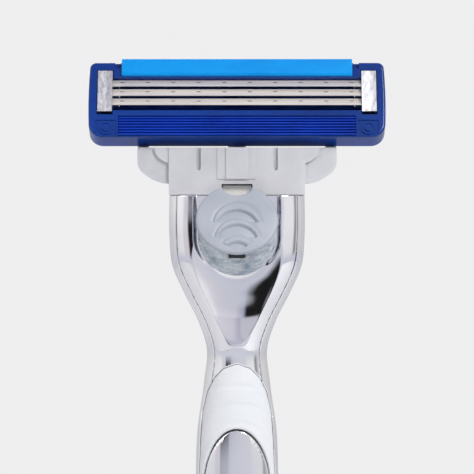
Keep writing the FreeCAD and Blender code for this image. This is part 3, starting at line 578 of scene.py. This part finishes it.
def clipped_grid(heights, angles, field, wrap=False):
    """Grid over (height, angle) cut exactly where a field crosses zero.

    Returns heights, angles and field values of the vertices, and the faces."""
    rows, columns = len(heights), len(angles)
    zz, aa = np.meshgrid(heights, angles, indexing="ij")
    values = field(zz, aa)
    place = {}
    out_z, out_a, out_f, faces = [], [], [], []

    def vertex(key, z, a, f):
        if key not in place:
            place[key] = len(out_z)
            out_z.append(z)
            out_a.append(a)
            out_f.append(f)
        return place[key]

    for row in range(rows - 1):
        for column in range(columns if wrap else columns - 1):
            after = (column + 1) % columns
            cell = [(row, column), (row, after), (row + 1, after), (row + 1, column)]
            levels = [values[c] for c in cell]
            if max(levels) <= 0:
                continue
            ahead = 2 * math.pi if after == 0 else 0
            turn = [0, ahead, ahead, 0]
            loop = []
            for k in range(4):
                here, there = cell[k], cell[(k + 1) % 4]
                f0, f1 = levels[k], levels[(k + 1) % 4]
                a0 = aa[here] + turn[k]
                a1 = aa[there] + turn[(k + 1) % 4]
                if f0 > 0:
                    loop.append(vertex(here, zz[here], a0, f0))
                if (f0 > 0) != (f1 > 0):
                    share = f0 / (f0 - f1)
                    key = (min(here, there), max(here, there))
                    z = zz[here] + share * (zz[there] - zz[here])
                    loop.append(vertex(key, z, a0 + share * (a1 - a0), 0.0))
            if len(loop) > 2:
                faces.append(loop)
    return np.array(out_z), np.array(out_a), np.array(out_f), faces


def skin_piece(name, slot, replaced, heights, angles, field, rim, wall, carve=None, wrap=False):
    """Piece of the handle's skin, cut by a field, with rolled edges and a wall behind it."""

    def level(z, angle):
        return field(handle_surface(z, angle))

    z, a, f, faces = clipped_grid(heights, angles, level, wrap)
    points = handle_surface(z, a) + inward_normal(z, a) * rim_drop(f, rim)[:, None]
    if carve is not None:
        points = carve(points, f)
    piece = make_piece(name, points, faces, "handle", slot, replaced, closed=False)
    solidify(piece, wall)


def rows_between(low, high, step):
    return np.linspace(low, high, int(math.ceil((high - low) / step)) + 1)


def graded_rows(low, change, high, coarse, fine):
    """Heights with a coarse step below a change and a fine step above it."""
    below = rows_between(low, change, coarse)[:-1]
    return np.concatenate([below, rows_between(change, high, fine)])


# ---- handle pieces ----


def front_carve(point, field):
    """The dish round the button and the well inside it."""
    x, y, z = point[:, 0], point[:, 1], point[:, 2]
    front = section(z, 2) - section(z, 3)
    reach = smooth_table(DISH, z, 1)
    bowl = front + smooth_table(DISH, z, 2) * (1 - (x / reach) ** 2)
    edge = WELL_HALF_WIDTH - np.hypot(x, np.minimum(z - WELL_CENTRE_Z, 0))
    outside = np.clip(WELL_EDGE - edge, 0, WELL_EDGE_REACH)
    well = WELL_FLOOR_Y - outside**2 * WELL_EDGE_CURVE
    carved = smooth_max(smooth_max(y, bowl, DISH_CORNER), well, WELL_CORNER)
    return np.stack([x, carved, z], axis=-1)


def front_shell():
    def field(point):
        x, y, z = point[..., 0], point[..., 1], point[..., 2]
        side = seam_half_width(z) - SEAM_GAP - np.abs(x)
        front = section(z, 2) - y
        around_slide = np.maximum(np.abs(x) - SLIDE_OPENING_HALF_WIDTH, SLIDE_OPENING_BOTTOM - z)
        around_grip = np.maximum(-arch_field(point), -oval_field(point) - OVAL_GROOVE)
        return np.minimum(np.minimum(side, front), np.minimum(around_grip, around_slide))

    heights = graded_rows(CAP_TOP, SHELL_DETAIL_FROM, HANDLE_TOP, 0.5, 0.12)
    angles = np.linspace(-math.pi / 2, math.pi / 2, 260)
    skin_piece(
        "front_shell_skin", "chrome", ["front_shell"], heights, angles, field,
        SHELL_RIM, SHELL_WALL, front_carve,
    )


def rear_shell():
    def field(point):
        x, y, z = point[..., 0], point[..., 1], point[..., 2]
        shell = np.maximum(np.abs(x) - seam_half_width(z), y - section(z, 2))
        in_front_grip = np.minimum(arch_field(point), front_depth(point))
        return np.minimum(shell, np.minimum(-in_front_grip, -rear_field(point)))

    heights = graded_rows(CAP_TOP, SHELL_DETAIL_FROM, HANDLE_TOP, 0.4, 0.15)
    angles = np.linspace(-math.pi, math.pi, 420, endpoint=False)
    skin_piece(
        "rear_shell_skin", "chrome", ["rear_shell"], heights, angles, field,
        SHELL_RIM, SHELL_WALL, wrap=True,
    )


def grip_relief(point, field):
    """Shallow arcs above the window, concentric with it, pressed into the rubber."""
    distance = oval_field(point)
    depth = np.zeros(len(point))
    for centre in RELIEF_DISTANCES:
        inside = np.clip(1 - np.abs(distance - centre) / RELIEF_HALF_WIDTH, 0, 1)
        depth += inside**0.5 * RELIEF_DEPTH
    fade = np.clip((point[:, 2] - OVAL_CENTRE_Z) / RELIEF_FADE, 0, 1)
    fade = fade * np.clip(field / RELIEF_RIM_FADE, 0, 1)
    moved = point.copy()
    moved[:, 1] += depth * fade
    return moved


def front_grip():
    def field(point):
        inside = np.minimum(arch_field(point), front_depth(point))
        return np.minimum(inside, oval_field(point))

    heights = graded_rows(GRIP_BOTTOM, GRIP_DETAIL_FROM, GRIP_TOP, 0.35, 0.13)
    angles = np.linspace(-math.pi / 2, math.pi / 2, 240)
    skin_piece(
        "front_grip_rubber", "grip_rubber", ["front_grip"], heights, angles, field,
        GRIP_RIM, GRIP_WALL, grip_relief,
    )


def rear_grip():
    heights = rows_between(GRIP_BOTTOM, REAR_GRIP_TOP, 0.35)
    angles = np.linspace(math.pi / 2, 3 * math.pi / 2, 200)
    skin_piece(
        "rear_grip_rubber", "grip_rubber", ["rear_grip"], heights, angles, rear_field,
        GRIP_RIM, GRIP_WALL,
    )


def butt_cap():
    """End cap: the handle's section carried round the edge to a flat face."""
    rings = [(CAP_TOP, 0.0), (CAP_MIDDLE_Z, 0.0), (CAP_EDGE_RADIUS, 0.0)]
    for step in range(1, CAP_EDGE_STEPS + 1):
        turn = math.pi / 2 * step / CAP_EDGE_STEPS
        z = CAP_EDGE_RADIUS * (1 - math.sin(turn))
        rings.append((z, CAP_EDGE_RADIUS * (1 - math.cos(turn))))
    rings.append((0.0, CAP_FACE_INSET))
    angles = np.linspace(0, 2 * math.pi, CAP_SPOKES, endpoint=False)
    vertices = []
    for z, inset in rings:
        vertices += list(handle_surface(np.full(CAP_SPOKES, z), angles, inset))
    faces = tube_faces(len(rings), CAP_SPOKES)
    make_piece("butt_cap_chrome", vertices, faces, "handle", "chrome", ["butt_cap"])


front_shell()
rear_shell()
front_grip()
rear_grip()
butt_cap()


# ---- release button: the disc ----

BUTTON_TILT = math.radians(24.0)
BUTTON_RADIUS_X = (BUTTON_HIGH.x - BUTTON_LOW.x) / 2 / MM
BUTTON_RADIUS_V = 5.21
BUTTON_CENTRE = Vector((0, -7.9, 120.55))
BUTTON_UP = Vector((0, math.sin(BUTTON_TILT), math.cos(BUTTON_TILT)))
BUTTON_OUT = Vector((0, -math.cos(BUTTON_TILT), math.sin(BUTTON_TILT)))
BUTTON_THICKNESS = 1.0
BUTTON_SIDE = 0.8
BUTTON_BACK_SHARE = 0.96
BUTTON_RIM = 0.32
BUTTON_DOME = 0.25
BUTTON_RINGS, BUTTON_SPOKES = 110, 330
NOTCH_HALF_WIDTH = 2.08
NOTCH_DEPTH = 1.65

# crescents in the disc's plane: height and radius of the outer arc, the same of the inner arc,
# spread in degrees
CRESCENTS = (
    (-0.94, 3.27, -1.92, 3.07, 84.0),
    (-3.25, 3.06, -4.06, 3.02, 83.0),
    (-5.13, 2.44, -5.93, 2.33, 55.0),
)
CRESCENT_TAPER = 3.5
# height or depth of each part of a crescent, and how far its edges and its fading reach
RIDGE_HEIGHT, RIDGE_EDGE = 0.2, 0.2
HOLLOW_DEPTH, HOLLOW_EDGE, HOLLOW_REACH = 0.3, 0.12, 1.25
LIP_DEPTH, LIP_EDGE, LIP_REACH, LIP_FADE = 0.07, 0.1, 0.45, 0.3


def crescent_relief(p, q):
    """Raised crescents with a hollow under each, at places p (across) and q (up) on the disc."""
    height = np.zeros_like(p)
    for outer_centre, outer_radius, inner_centre, inner_radius, spread in CRESCENTS:
        outside = outer_radius - np.hypot(p, q - outer_centre)
        inside = np.hypot(p, q - inner_centre) - inner_radius
        turn = np.degrees(np.arctan2(np.abs(p), q - outer_centre))
        ends = np.clip((spread - turn) / CRESCENT_TAPER, 0, 1)
        ridge = smooth_step(np.clip(np.minimum(outside, inside) / RIDGE_EDGE, 0, 1))
        fading = np.clip((HOLLOW_REACH + inside) / HOLLOW_REACH, 0, 1)
        hollow = np.clip(-inside / HOLLOW_EDGE, 0, 1) * fading
        fading = np.clip((LIP_REACH + outside) / LIP_FADE, 0, 1)
        lip = np.clip(-outside / LIP_EDGE, 0, 1) * fading
        height += (RIDGE_HEIGHT * ridge - HOLLOW_DEPTH * hollow - LIP_DEPTH * lip) * ends
    return height


def notch_distance(p, q):
    """How far a place on the disc lies outside the notch at its top."""
    level = np.hypot(p / NOTCH_HALF_WIDTH, (q - BUTTON_RADIUS_V) / NOTCH_DEPTH)
    return (level - 1) * NOTCH_DEPTH


def notch_limit(p, q):
    """Keeps the disc below the notch."""
    reach = np.sqrt(np.maximum(1 - (p / NOTCH_HALF_WIDTH) ** 2, 0)) * NOTCH_DEPTH
    return np.where(np.abs(p) < NOTCH_HALF_WIDTH, np.minimum(q, BUTTON_RADIUS_V - reach), q)


def button_cap():
    """Domed disc with a rolled rim, a notch at its top and three raised crescents."""
    spokes = BUTTON_SPOKES
    angles = np.linspace(0, 2 * math.pi, spokes, endpoint=False)
    rows = []
    for radius in np.sin(np.linspace(0, math.pi / 2, BUTTON_RINGS))[1:]:
        p = BUTTON_RADIUS_X * radius * np.cos(angles)
        q = notch_limit(p, BUTTON_RADIUS_V * radius * np.sin(angles))
        inward = np.minimum((1 - radius) * BUTTON_RADIUS_V, notch_distance(p, q))
        dome = -BUTTON_DOME * ((p / BUTTON_RADIUS_X) ** 2 + (q / BUTTON_RADIUS_V) ** 2)
        rows.append((p, q, dome + crescent_relief(p, q) - rim_drop(inward, BUTTON_RIM)))
    back_p, back_q = p * BUTTON_BACK_SHARE, q * BUTTON_BACK_SHARE
    rows.append((p, q, np.full_like(p, -BUTTON_SIDE)))
    rows.append((back_p, back_q, np.full_like(p, -BUTTON_THICKNESS)))
    vertices = []
    for row in rows:
        for a, b, h in zip(*row):
            vertices.append(BUTTON_CENTRE + Vector((a, 0, 0)) + BUTTON_UP * b + BUTTON_OUT * h)
    faces = ring_faces(len(rows), spokes)
    middle = crescent_relief(np.zeros(1), np.zeros(1))[0]
    vertices.append(BUTTON_CENTRE + BUTTON_OUT * middle)
    faces += [[len(vertices) - 1, k, (k + 1) % spokes] for k in range(spokes)]
    faces.append([(len(rows) - 1) * spokes + k for k in reversed(range(spokes))])
    make_piece("button_disc", vertices, faces, "button", "button_plastic", ["button_cap"])


# ---- release button: the skirt under the disc ----

SKIRT_TOP_RADII = (4.75, 4.35)
SKIRT_NOTCH_GAP = 0.15
SKIRT_FOOT_RADIUS = 5.45
SKIRT_FOOT = Vector((0, -5.0, 118.0))
SKIRT_BULGE = 0.03
SKIRT_ROWS, SKIRT_SPOKES = 60, 300
# folds round the skirt: their counts, depth and twist from top to foot in radians
FOLD_COUNTS = (5, 9, 14, 21, 29, 37)
FOLD_DEPTH = 0.012
FOLD_TWIST = 2.5
FOLD_SEED = 7
# tiers down the skirt: their count, depth and how far the folds shift them
TIER_COUNT = 3.5
TIER_DEPTH = 0.014
TIER_SWAY = 0.05
# groove under the disc: depth, place and width as shares of the skirt
UNDERCUT_DEPTH = 0.12
UNDERCUT_PLACE = 0.17
UNDERCUT_WIDTH = 0.1
# opening in the skirt just under the disc: half width, lower and upper end, depth
SLOT = (1.15, 115.05, 115.75, 0.8)
# front, overlap, chamfer and rounded ends of the near-black insert that paints the shade inside the
# opening
SLOT_FRONT_Y = -7.6
SLOT_OVERLAP = 0.06
SLOT_CHAMFER = 0.06
SLOT_CHAMFER_DEPTH = 0.12
SLOT_END_RADIUS = 0.3
SLOT_SPOKES = 40


def button_skirt():
    """Crumpled clear skirt that closes the gap between the disc and the well."""
    back = BUTTON_CENTRE - BUTTON_OUT * BUTTON_THICKNESS
    rng = np.random.default_rng(FOLD_SEED)
    phases = rng.uniform(0, 2 * math.pi, len(FOLD_COUNTS))
    slot_half, slot_low, slot_high, slot_depth = SLOT
    below_notch = BUTTON_RADIUS_V - NOTCH_DEPTH - SKIRT_NOTCH_GAP
    vertices = []
    for row in range(SKIRT_ROWS):
        share = row / (SKIRT_ROWS - 1)
        centre = back.lerp(SKIRT_FOOT, share)
        middle = math.sin(math.pi * share)
        bulge = 1 + SKIRT_BULGE * middle
        undercut = math.exp(-(((share - UNDERCUT_PLACE) / UNDERCUT_WIDTH) ** 2))
        twist = FOLD_TWIST * share
        for k in range(SKIRT_SPOKES):
            angle = 2 * math.pi * k / SKIRT_SPOKES
            waves = zip(FOLD_COUNTS, phases)
            folds = sum(math.sin(count * angle + phase + twist) for count, phase in waves)
            tier = math.sin(2 * math.pi * (TIER_COUNT * share + TIER_SWAY * folds))
            swell = bulge - (FOLD_DEPTH * abs(folds) + TIER_DEPTH * tier) * middle**0.5
            swell -= UNDERCUT_DEPTH * undercut
            across, up = math.cos(angle), math.sin(angle)
            high = min(SKIRT_TOP_RADII[1] * up, below_notch)
            top = back + Vector((SKIRT_TOP_RADII[0] * across, 0, 0)) + BUTTON_UP * high
            low = SKIRT_FOOT + Vector((across, 0, up)) * SKIRT_FOOT_RADIUS
            point = centre + (top.lerp(low, share) - centre) * swell
            if abs(point.x) < slot_half and slot_low < point.z < slot_high and up < 0:
                point.y += slot_depth
            vertices.append(point)
    faces = tube_faces(SKIRT_ROWS, SKIRT_SPOKES)
    name, slot = "button_skirt_crumpled", "skirt_plastic"
    make_piece(name, vertices, faces, "button", slot, ["button_skirt"])


def painted_slot_shade_insert():
    """Near-black insert with rounded ends in the skirt's opening: painted shade for the shadow
    inside the opening.
    """
    half, low, high, depth = SLOT
    middle_z = (low + high) / 2
    half_height = (high - low) / 2 + SLOT_OVERLAP
    vertices = []
    for deep, inset in ((0.0, SLOT_CHAMFER), (SLOT_CHAMFER_DEPTH, 0.0), (depth, 0.0)):
        for k in range(SLOT_SPOKES):
            angle = 2 * math.pi * k / SLOT_SPOKES
            end = math.copysign(half - SLOT_END_RADIUS, math.cos(angle))
            x = end + (SLOT_END_RADIUS - inset) * math.cos(angle)
            z = middle_z + (half_height - inset) * math.sin(angle)
            vertices.append((x, SLOT_FRONT_Y + deep, z))
    faces = tube_faces(3, SLOT_SPOKES)
    piece = make_piece("button_skirt_painted_shade", vertices, faces, "button", "insert_plastic")
    # the insert's near-black colour is painted shade
    piece.data.materials[0] = PAINTED_SLOT_SHADE


button_cap()
button_skirt()
painted_slot_shade_insert()


# ---- coil springs ----

SPRING_WIRE = 0.16
COIL_STEPS, COIL_SPOKES = 28, 10
# piece, radius, y, lower end, upper end, turns, joint, the end that stays, travel
SPRINGS = (
    ("plunger_spring", 0.95, 0.2, 109.6, 113.4, 6, "plunger_slide", 109.6, 2.05),
    ("button_spring", 0.38, -2.38, 114.9, 120.9, 13, "button_slide", 120.9, 3.0),
)


def coil_spring(node, radius, y, low, high, turns, joint, fixed_end, travel):
    """Coil with close turns at both ends."""
    steps = COIL_STEPS * turns
    close = 1 / turns
    vertices = []
    for step in range(steps + 1):
        share = step / steps
        rise = min(max((share - close) / (1 - 2 * close), 0), 1)
        ends = (min(share, close) + max(share - 1 + close, 0)) / close
        z = low + SPRING_WIRE + (high - low - 6 * SPRING_WIRE) * rise + 2 * SPRING_WIRE * ends
        turn = 2 * math.pi * turns * share
        out = Vector((math.cos(turn), math.sin(turn), 0))
        middle = Vector((0, y, z)) + out * radius
        for k in range(COIL_SPOKES):
            angle = 2 * math.pi * k / COIL_SPOKES
            off = out * math.cos(angle) + Vector((0, 0, 1)) * math.sin(angle)
            vertices.append(middle + off * SPRING_WIRE)
    faces = tube_faces(steps + 1, COIL_SPOKES)
    piece = make_piece(f"{node}_coil", vertices, faces, "handle", "steel", [node])
    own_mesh(piece)


for spring in SPRINGS:
    coil_spring(*spring)


# ---- weld marks on the blades ----

WELD_COUNT = 10
WELD_PITCH = 3.567
WELD_ALONG = 0.82
WELD_HALF_WIDTH = 0.36
WELD_HALF_HEIGHT = 0.09
WELD_SPOKES = 20
# rings of one weld from its edge to its middle: share of its size, height over the steel
WELD_RINGS = ((1.0, -0.002), (0.7, 0.012), (0.0, 0.018))


def on_cartridge(x, y, z):
    """Point of the cartridge's own frame at its tilted place, in millimetres."""
    deep = y * math.cos(FACE_TILT) + z * math.sin(FACE_TILT)
    high = z * math.cos(FACE_TILT) - y * math.sin(FACE_TILT)
    return (x, FACE_EDGE_Y + deep, FACE_EDGE_Z + high)


def weld_marks(index):
    """Row of small oval welds on one blade, each a shallow lens on the steel."""
    edge_z = FIRST_EDGE_Z - index * BLADE_PITCH
    vertices, faces = [], []
    for mark in range(WELD_COUNT):
        middle = (mark - (WELD_COUNT - 1) / 2) * WELD_PITCH
        start = len(vertices)
        for size, lift in WELD_RINGS:
            for k in range(WELD_SPOKES):
                angle = 2 * math.pi * k / WELD_SPOKES
                along = WELD_ALONG + WELD_HALF_HEIGHT * size * math.sin(angle)
                x = middle + WELD_HALF_WIDTH * size * math.cos(angle)
                y = EDGE_Y + along * math.sin(EDGE_TILT) - lift * math.cos(EDGE_TILT)
                z = edge_z + along * math.cos(EDGE_TILT) + lift * math.sin(EDGE_TILT)
                vertices.append(on_cartridge(x, y, z))
        rings = ring_faces(len(WELD_RINGS), WELD_SPOKES)
        faces += [[start + corner for corner in face] for face in rings]
    name, body = f"weld_marks_{index + 1}", f"blade_{index + 1}"
    piece = make_piece(name, vertices, faces, body, "blade_steel")
    piece.data.materials[0] = WELD_STEEL


for blade in range(3):
    weld_marks(blade)


# ---- CAD pieces that keep their shape ----

# width of the rounding on a piece's edges, in millimetres
SOFT_EDGES = {
    "connector_frame": 0.12,
    "cartridge_housing": 0.06,
    "guard_fins": 0.03,
    "lube_strip": 0.05,
    "left_clip": 0.04,
    "right_clip": 0.04,
    "ejector_slide": 0.06,
    "head_insert": 0.1,
    "plunger": 0.15,
}
SOFT_EDGE_ANGLE = math.radians(32)


def finish_cad_nodes():
    """Each CAD node gets its slot's procedural material."""
    slots = {part["node"]: part["material_slot"] for part in frame["record"]["subparts"]}
    for name, node in frame["nodes"].items():
        node.data.materials.clear()
        node.data.materials.append(MATERIALS[slots[name]])


def soften(name, width):
    """Rounded edges on a CAD piece, by a modifier."""
    node = frame["nodes"][name]
    node.data.shade_smooth()
    bevel = node.modifiers.new("edge", "BEVEL")
    bevel.width = width * MM
    bevel.segments = 2
    bevel.limit_method = "ANGLE"
    bevel.angle_limit = SOFT_EDGE_ANGLE
    bevel.harden_normals = True
    bevel.miter_outer = "MITER_ARC"


finish_cad_nodes()
for node_name, edge_width in SOFT_EDGES.items():
    soften(node_name, edge_width)


# ---- light, camera, floor; lengths from here on are in metres ----

# what the chrome mirrors, each panel as the angle round the razor in degrees and its colour; the
# angle is 0 in front of the razor and grows to the right
UPPER_PANELS = (
    (-180, 0.6),
    (-95, 0.9),
    (-62, 1.0),
    (-48, (0.90, 0.90, 0.93)),
    (-43, (0.62, 0.61, 0.68)),
    (-7, (0.62, 0.61, 0.68)),
    (-3, (0.50, 0.50, 0.60)),
    (6, (0.70, 0.68, 0.75)),
    (28, (0.78, 0.76, 0.82)),
    (34, 1.0),
    (60, 1.0),
    (68, 0.35),
    (84, 0.85),
    (180, 0.6),
)
LOWER_PANELS = (
    (-180, 0.6),
    (-95, 0.85),
    (-62, 1.0),
    (-50, 1.0),
    (-48, (0.86, 0.80, 0.85)),
    (-36, (0.82, 0.76, 0.82)),
    (-33, 0.015),
    (-13, 0.015),
    (-9, (0.50, 0.52, 0.64)),
    (3, (0.80, 0.78, 0.84)),
    (26, (0.86, 0.84, 0.90)),
    (31, 1.0),
    (58, 1.0),
    (66, 0.30),
    (84, 0.85),
    (180, 0.6),
)
# how high the mirror looks, from 0 for straight down to 1 for straight up: where the lower panels
# give way to the upper, where the pale ground gives way to the panels, and how bright they are
PANEL_CHANGE = [(0.50, 0.0), (0.53, 1.0)]
GROUND_EDGE = [(0.41, 1.0), (0.44, 0.0)]
BRIGHTNESS = [(0.0, 0.35), (0.35, 0.7), (0.5, 0.95), (0.6, 1.0), (0.85, 1.1)]
GROUND_COLOUR = (0.84, 0.86, 0.95, 1)
# what lights the matt pieces, and what the camera sees behind the razor
SOFT_COLOUR, SOFT_STRENGTH = (0.96, 0.96, 1.0, 1), 0.36
BACKDROP_COLOUR = (0.86, 0.86, 0.87, 1)

# name, place, target, size and power
LIGHTS = (
    ("key", (0.28, -0.4, 0.5), (0, 0, 0.11), (0.2, 0.2), 2.5),
    ("fill", (-0.4, -0.3, 0.3), (0, 0, 0.11), (0.2, 0.3), 0.35),
    ("back", (-0.15, 0.5, 0.45), (0, 0, 0.08), (0.3, 0.3), 0.9),
)
FLOOR_RADIUS = 0.45
LENS, SENSOR = 200, 36
# share of the image's width that the cartridge takes, and of its height above the strip
CARTRIDGE_SHARE = 0.6308
TOP_SHARE = 0.12025


def panel_colours(tree, turn, panels):
    return ramp(tree, turn, [((degrees + 180) / 360, colour) for degrees, colour in panels])


def mixed(tree, blend_type, first, second, share=None):
    node = add(tree, "ShaderNodeMix", data_type="RGBA", blend_type=blend_type)
    node.inputs[0].default_value = 1.0
    if share is not None:
        tree.links.new(share, node.inputs[0])
    tree.links.new(first, node.inputs[6])
    tree.links.new(second, node.inputs[7])
    return node.outputs[2]


def either(tree, share, first, second):
    """First shader where the share is 0, second where it is 1."""
    node = add(tree, "ShaderNodeMixShader")
    tree.links.new(share, node.inputs[0])
    tree.links.new(first.outputs[0], node.inputs[1])
    tree.links.new(second.outputs[0], node.inputs[2])
    return node


def unit_range(tree, source, reach):
    """Maps -reach to reach onto 0 to 1."""
    node = add(tree, "ShaderNodeMapRange", **{"From Min": -reach, "From Max": reach})
    tree.links.new(source, node.inputs["Value"])
    return node.outputs["Result"]


def world_light():
    """Studio round the razor: bright soft panels with darker gaps for the chrome to mirror."""
    world = bpy.data.worlds.new("studio")
    bpy.context.scene.world = world
    world.use_nodes = True
    tree = world.node_tree
    tree.nodes.clear()
    output = add(tree, "ShaderNodeOutputWorld")
    place = add(tree, "ShaderNodeTexCoord")
    split = add(tree, "ShaderNodeSeparateXYZ")
    tree.links.new(place.outputs["Generated"], split.inputs["Vector"])
    flip = add(tree, "ShaderNodeMath", operation="MULTIPLY")
    flip.inputs[1].default_value = -1
    tree.links.new(split.outputs["Y"], flip.inputs[0])
    around = add(tree, "ShaderNodeMath", operation="ARCTAN2")
    tree.links.new(split.outputs["X"], around.inputs[0])
    tree.links.new(flip.outputs[0], around.inputs[1])
    turn = unit_range(tree, around.outputs[0], math.pi)
    level = unit_range(tree, split.outputs["Z"], 1)
    upper = panel_colours(tree, turn, UPPER_PANELS)
    lower = panel_colours(tree, turn, LOWER_PANELS)
    ground = add(tree, "ShaderNodeRGB")
    ground.outputs[0].default_value = GROUND_COLOUR
    panels = mixed(tree, "MIX", lower, upper, ramp(tree, level, PANEL_CHANGE))
    sides = mixed(tree, "MIX", panels, ground.outputs[0], ramp(tree, level, GROUND_EDGE))
    mirrored = add(tree, "ShaderNodeBackground", Strength=1.0)
    lit = mixed(tree, "MULTIPLY", sides, ramp(tree, level, BRIGHTNESS))
    tree.links.new(lit, mirrored.inputs["Color"])
    soft = add(tree, "ShaderNodeBackground", Color=SOFT_COLOUR, Strength=SOFT_STRENGTH)
    backdrop = add(tree, "ShaderNodeBackground", Color=BACKDROP_COLOUR, Strength=1.0)
    ray = add(tree, "ShaderNodeLightPath").outputs
    around_razor = either(tree, ray["Is Diffuse Ray"], mirrored, soft)
    shown = either(tree, ray["Is Camera Ray"], around_razor, backdrop)
    tree.links.new(shown.outputs[0], output.inputs["Surface"])


def area_light(name, place, target, size, power):
    light = bpy.data.lights.new(name, "AREA")
    light.shape = "RECTANGLE"
    light.size, light.size_y = size
    light.energy = power
    lamp = bpy.data.objects.new(name, light)
    lamp.location = place
    lamp.rotation_mode = "QUATERNION"
    lamp.rotation_quaternion = (Vector(target) - Vector(place)).to_track_quat("-Z", "Y")
    bpy.context.scene.collection.objects.link(lamp)


def floor():
    bpy.ops.mesh.primitive_circle_add(
        vertices=128, radius=FLOOR_RADIUS, fill_type="NGON", location=(0, 0, cad_box[0].z)
    )
    disc = bpy.context.object
    disc.name = "floor"
    material, tree, shader = new_material("floor_paper")
    set_shader(shader, Roughness=0.85)
    tint(tree, shader, noise(tree, 8, 3), (0.90, 0.90, 0.91), (0.93, 0.93, 0.94))
    disc.data.materials.append(material)


def camera():
    """Long lens, level with the head: the view spans the cartridge and the top of the handle."""
    cartridge_low, cartridge_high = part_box("cartridge_housing")
    strip_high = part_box("lube_strip")[1]
    span = (cartridge_high.x - cartridge_low.x) / CARTRIDGE_SHARE
    centre_z = strip_high.z + TOP_SHARE * span - span / 2
    data = bpy.data.cameras.new("camera")
    data.lens = LENS
    data.sensor_width = SENSOR
    eye = bpy.data.objects.new("camera", data)
    eye.location = (0, cartridge_low.y - span * LENS / SENSOR, centre_z)
    eye.rotation_euler = (math.radians(90), 0, 0)
    bpy.context.scene.collection.objects.link(eye)
    bpy.context.scene.camera = eye


bpy.context.scene.view_settings.view_transform = "Standard"
world_light()
floor()
camera()
for light_settings in LIGHTS:
    area_light(*light_settings)
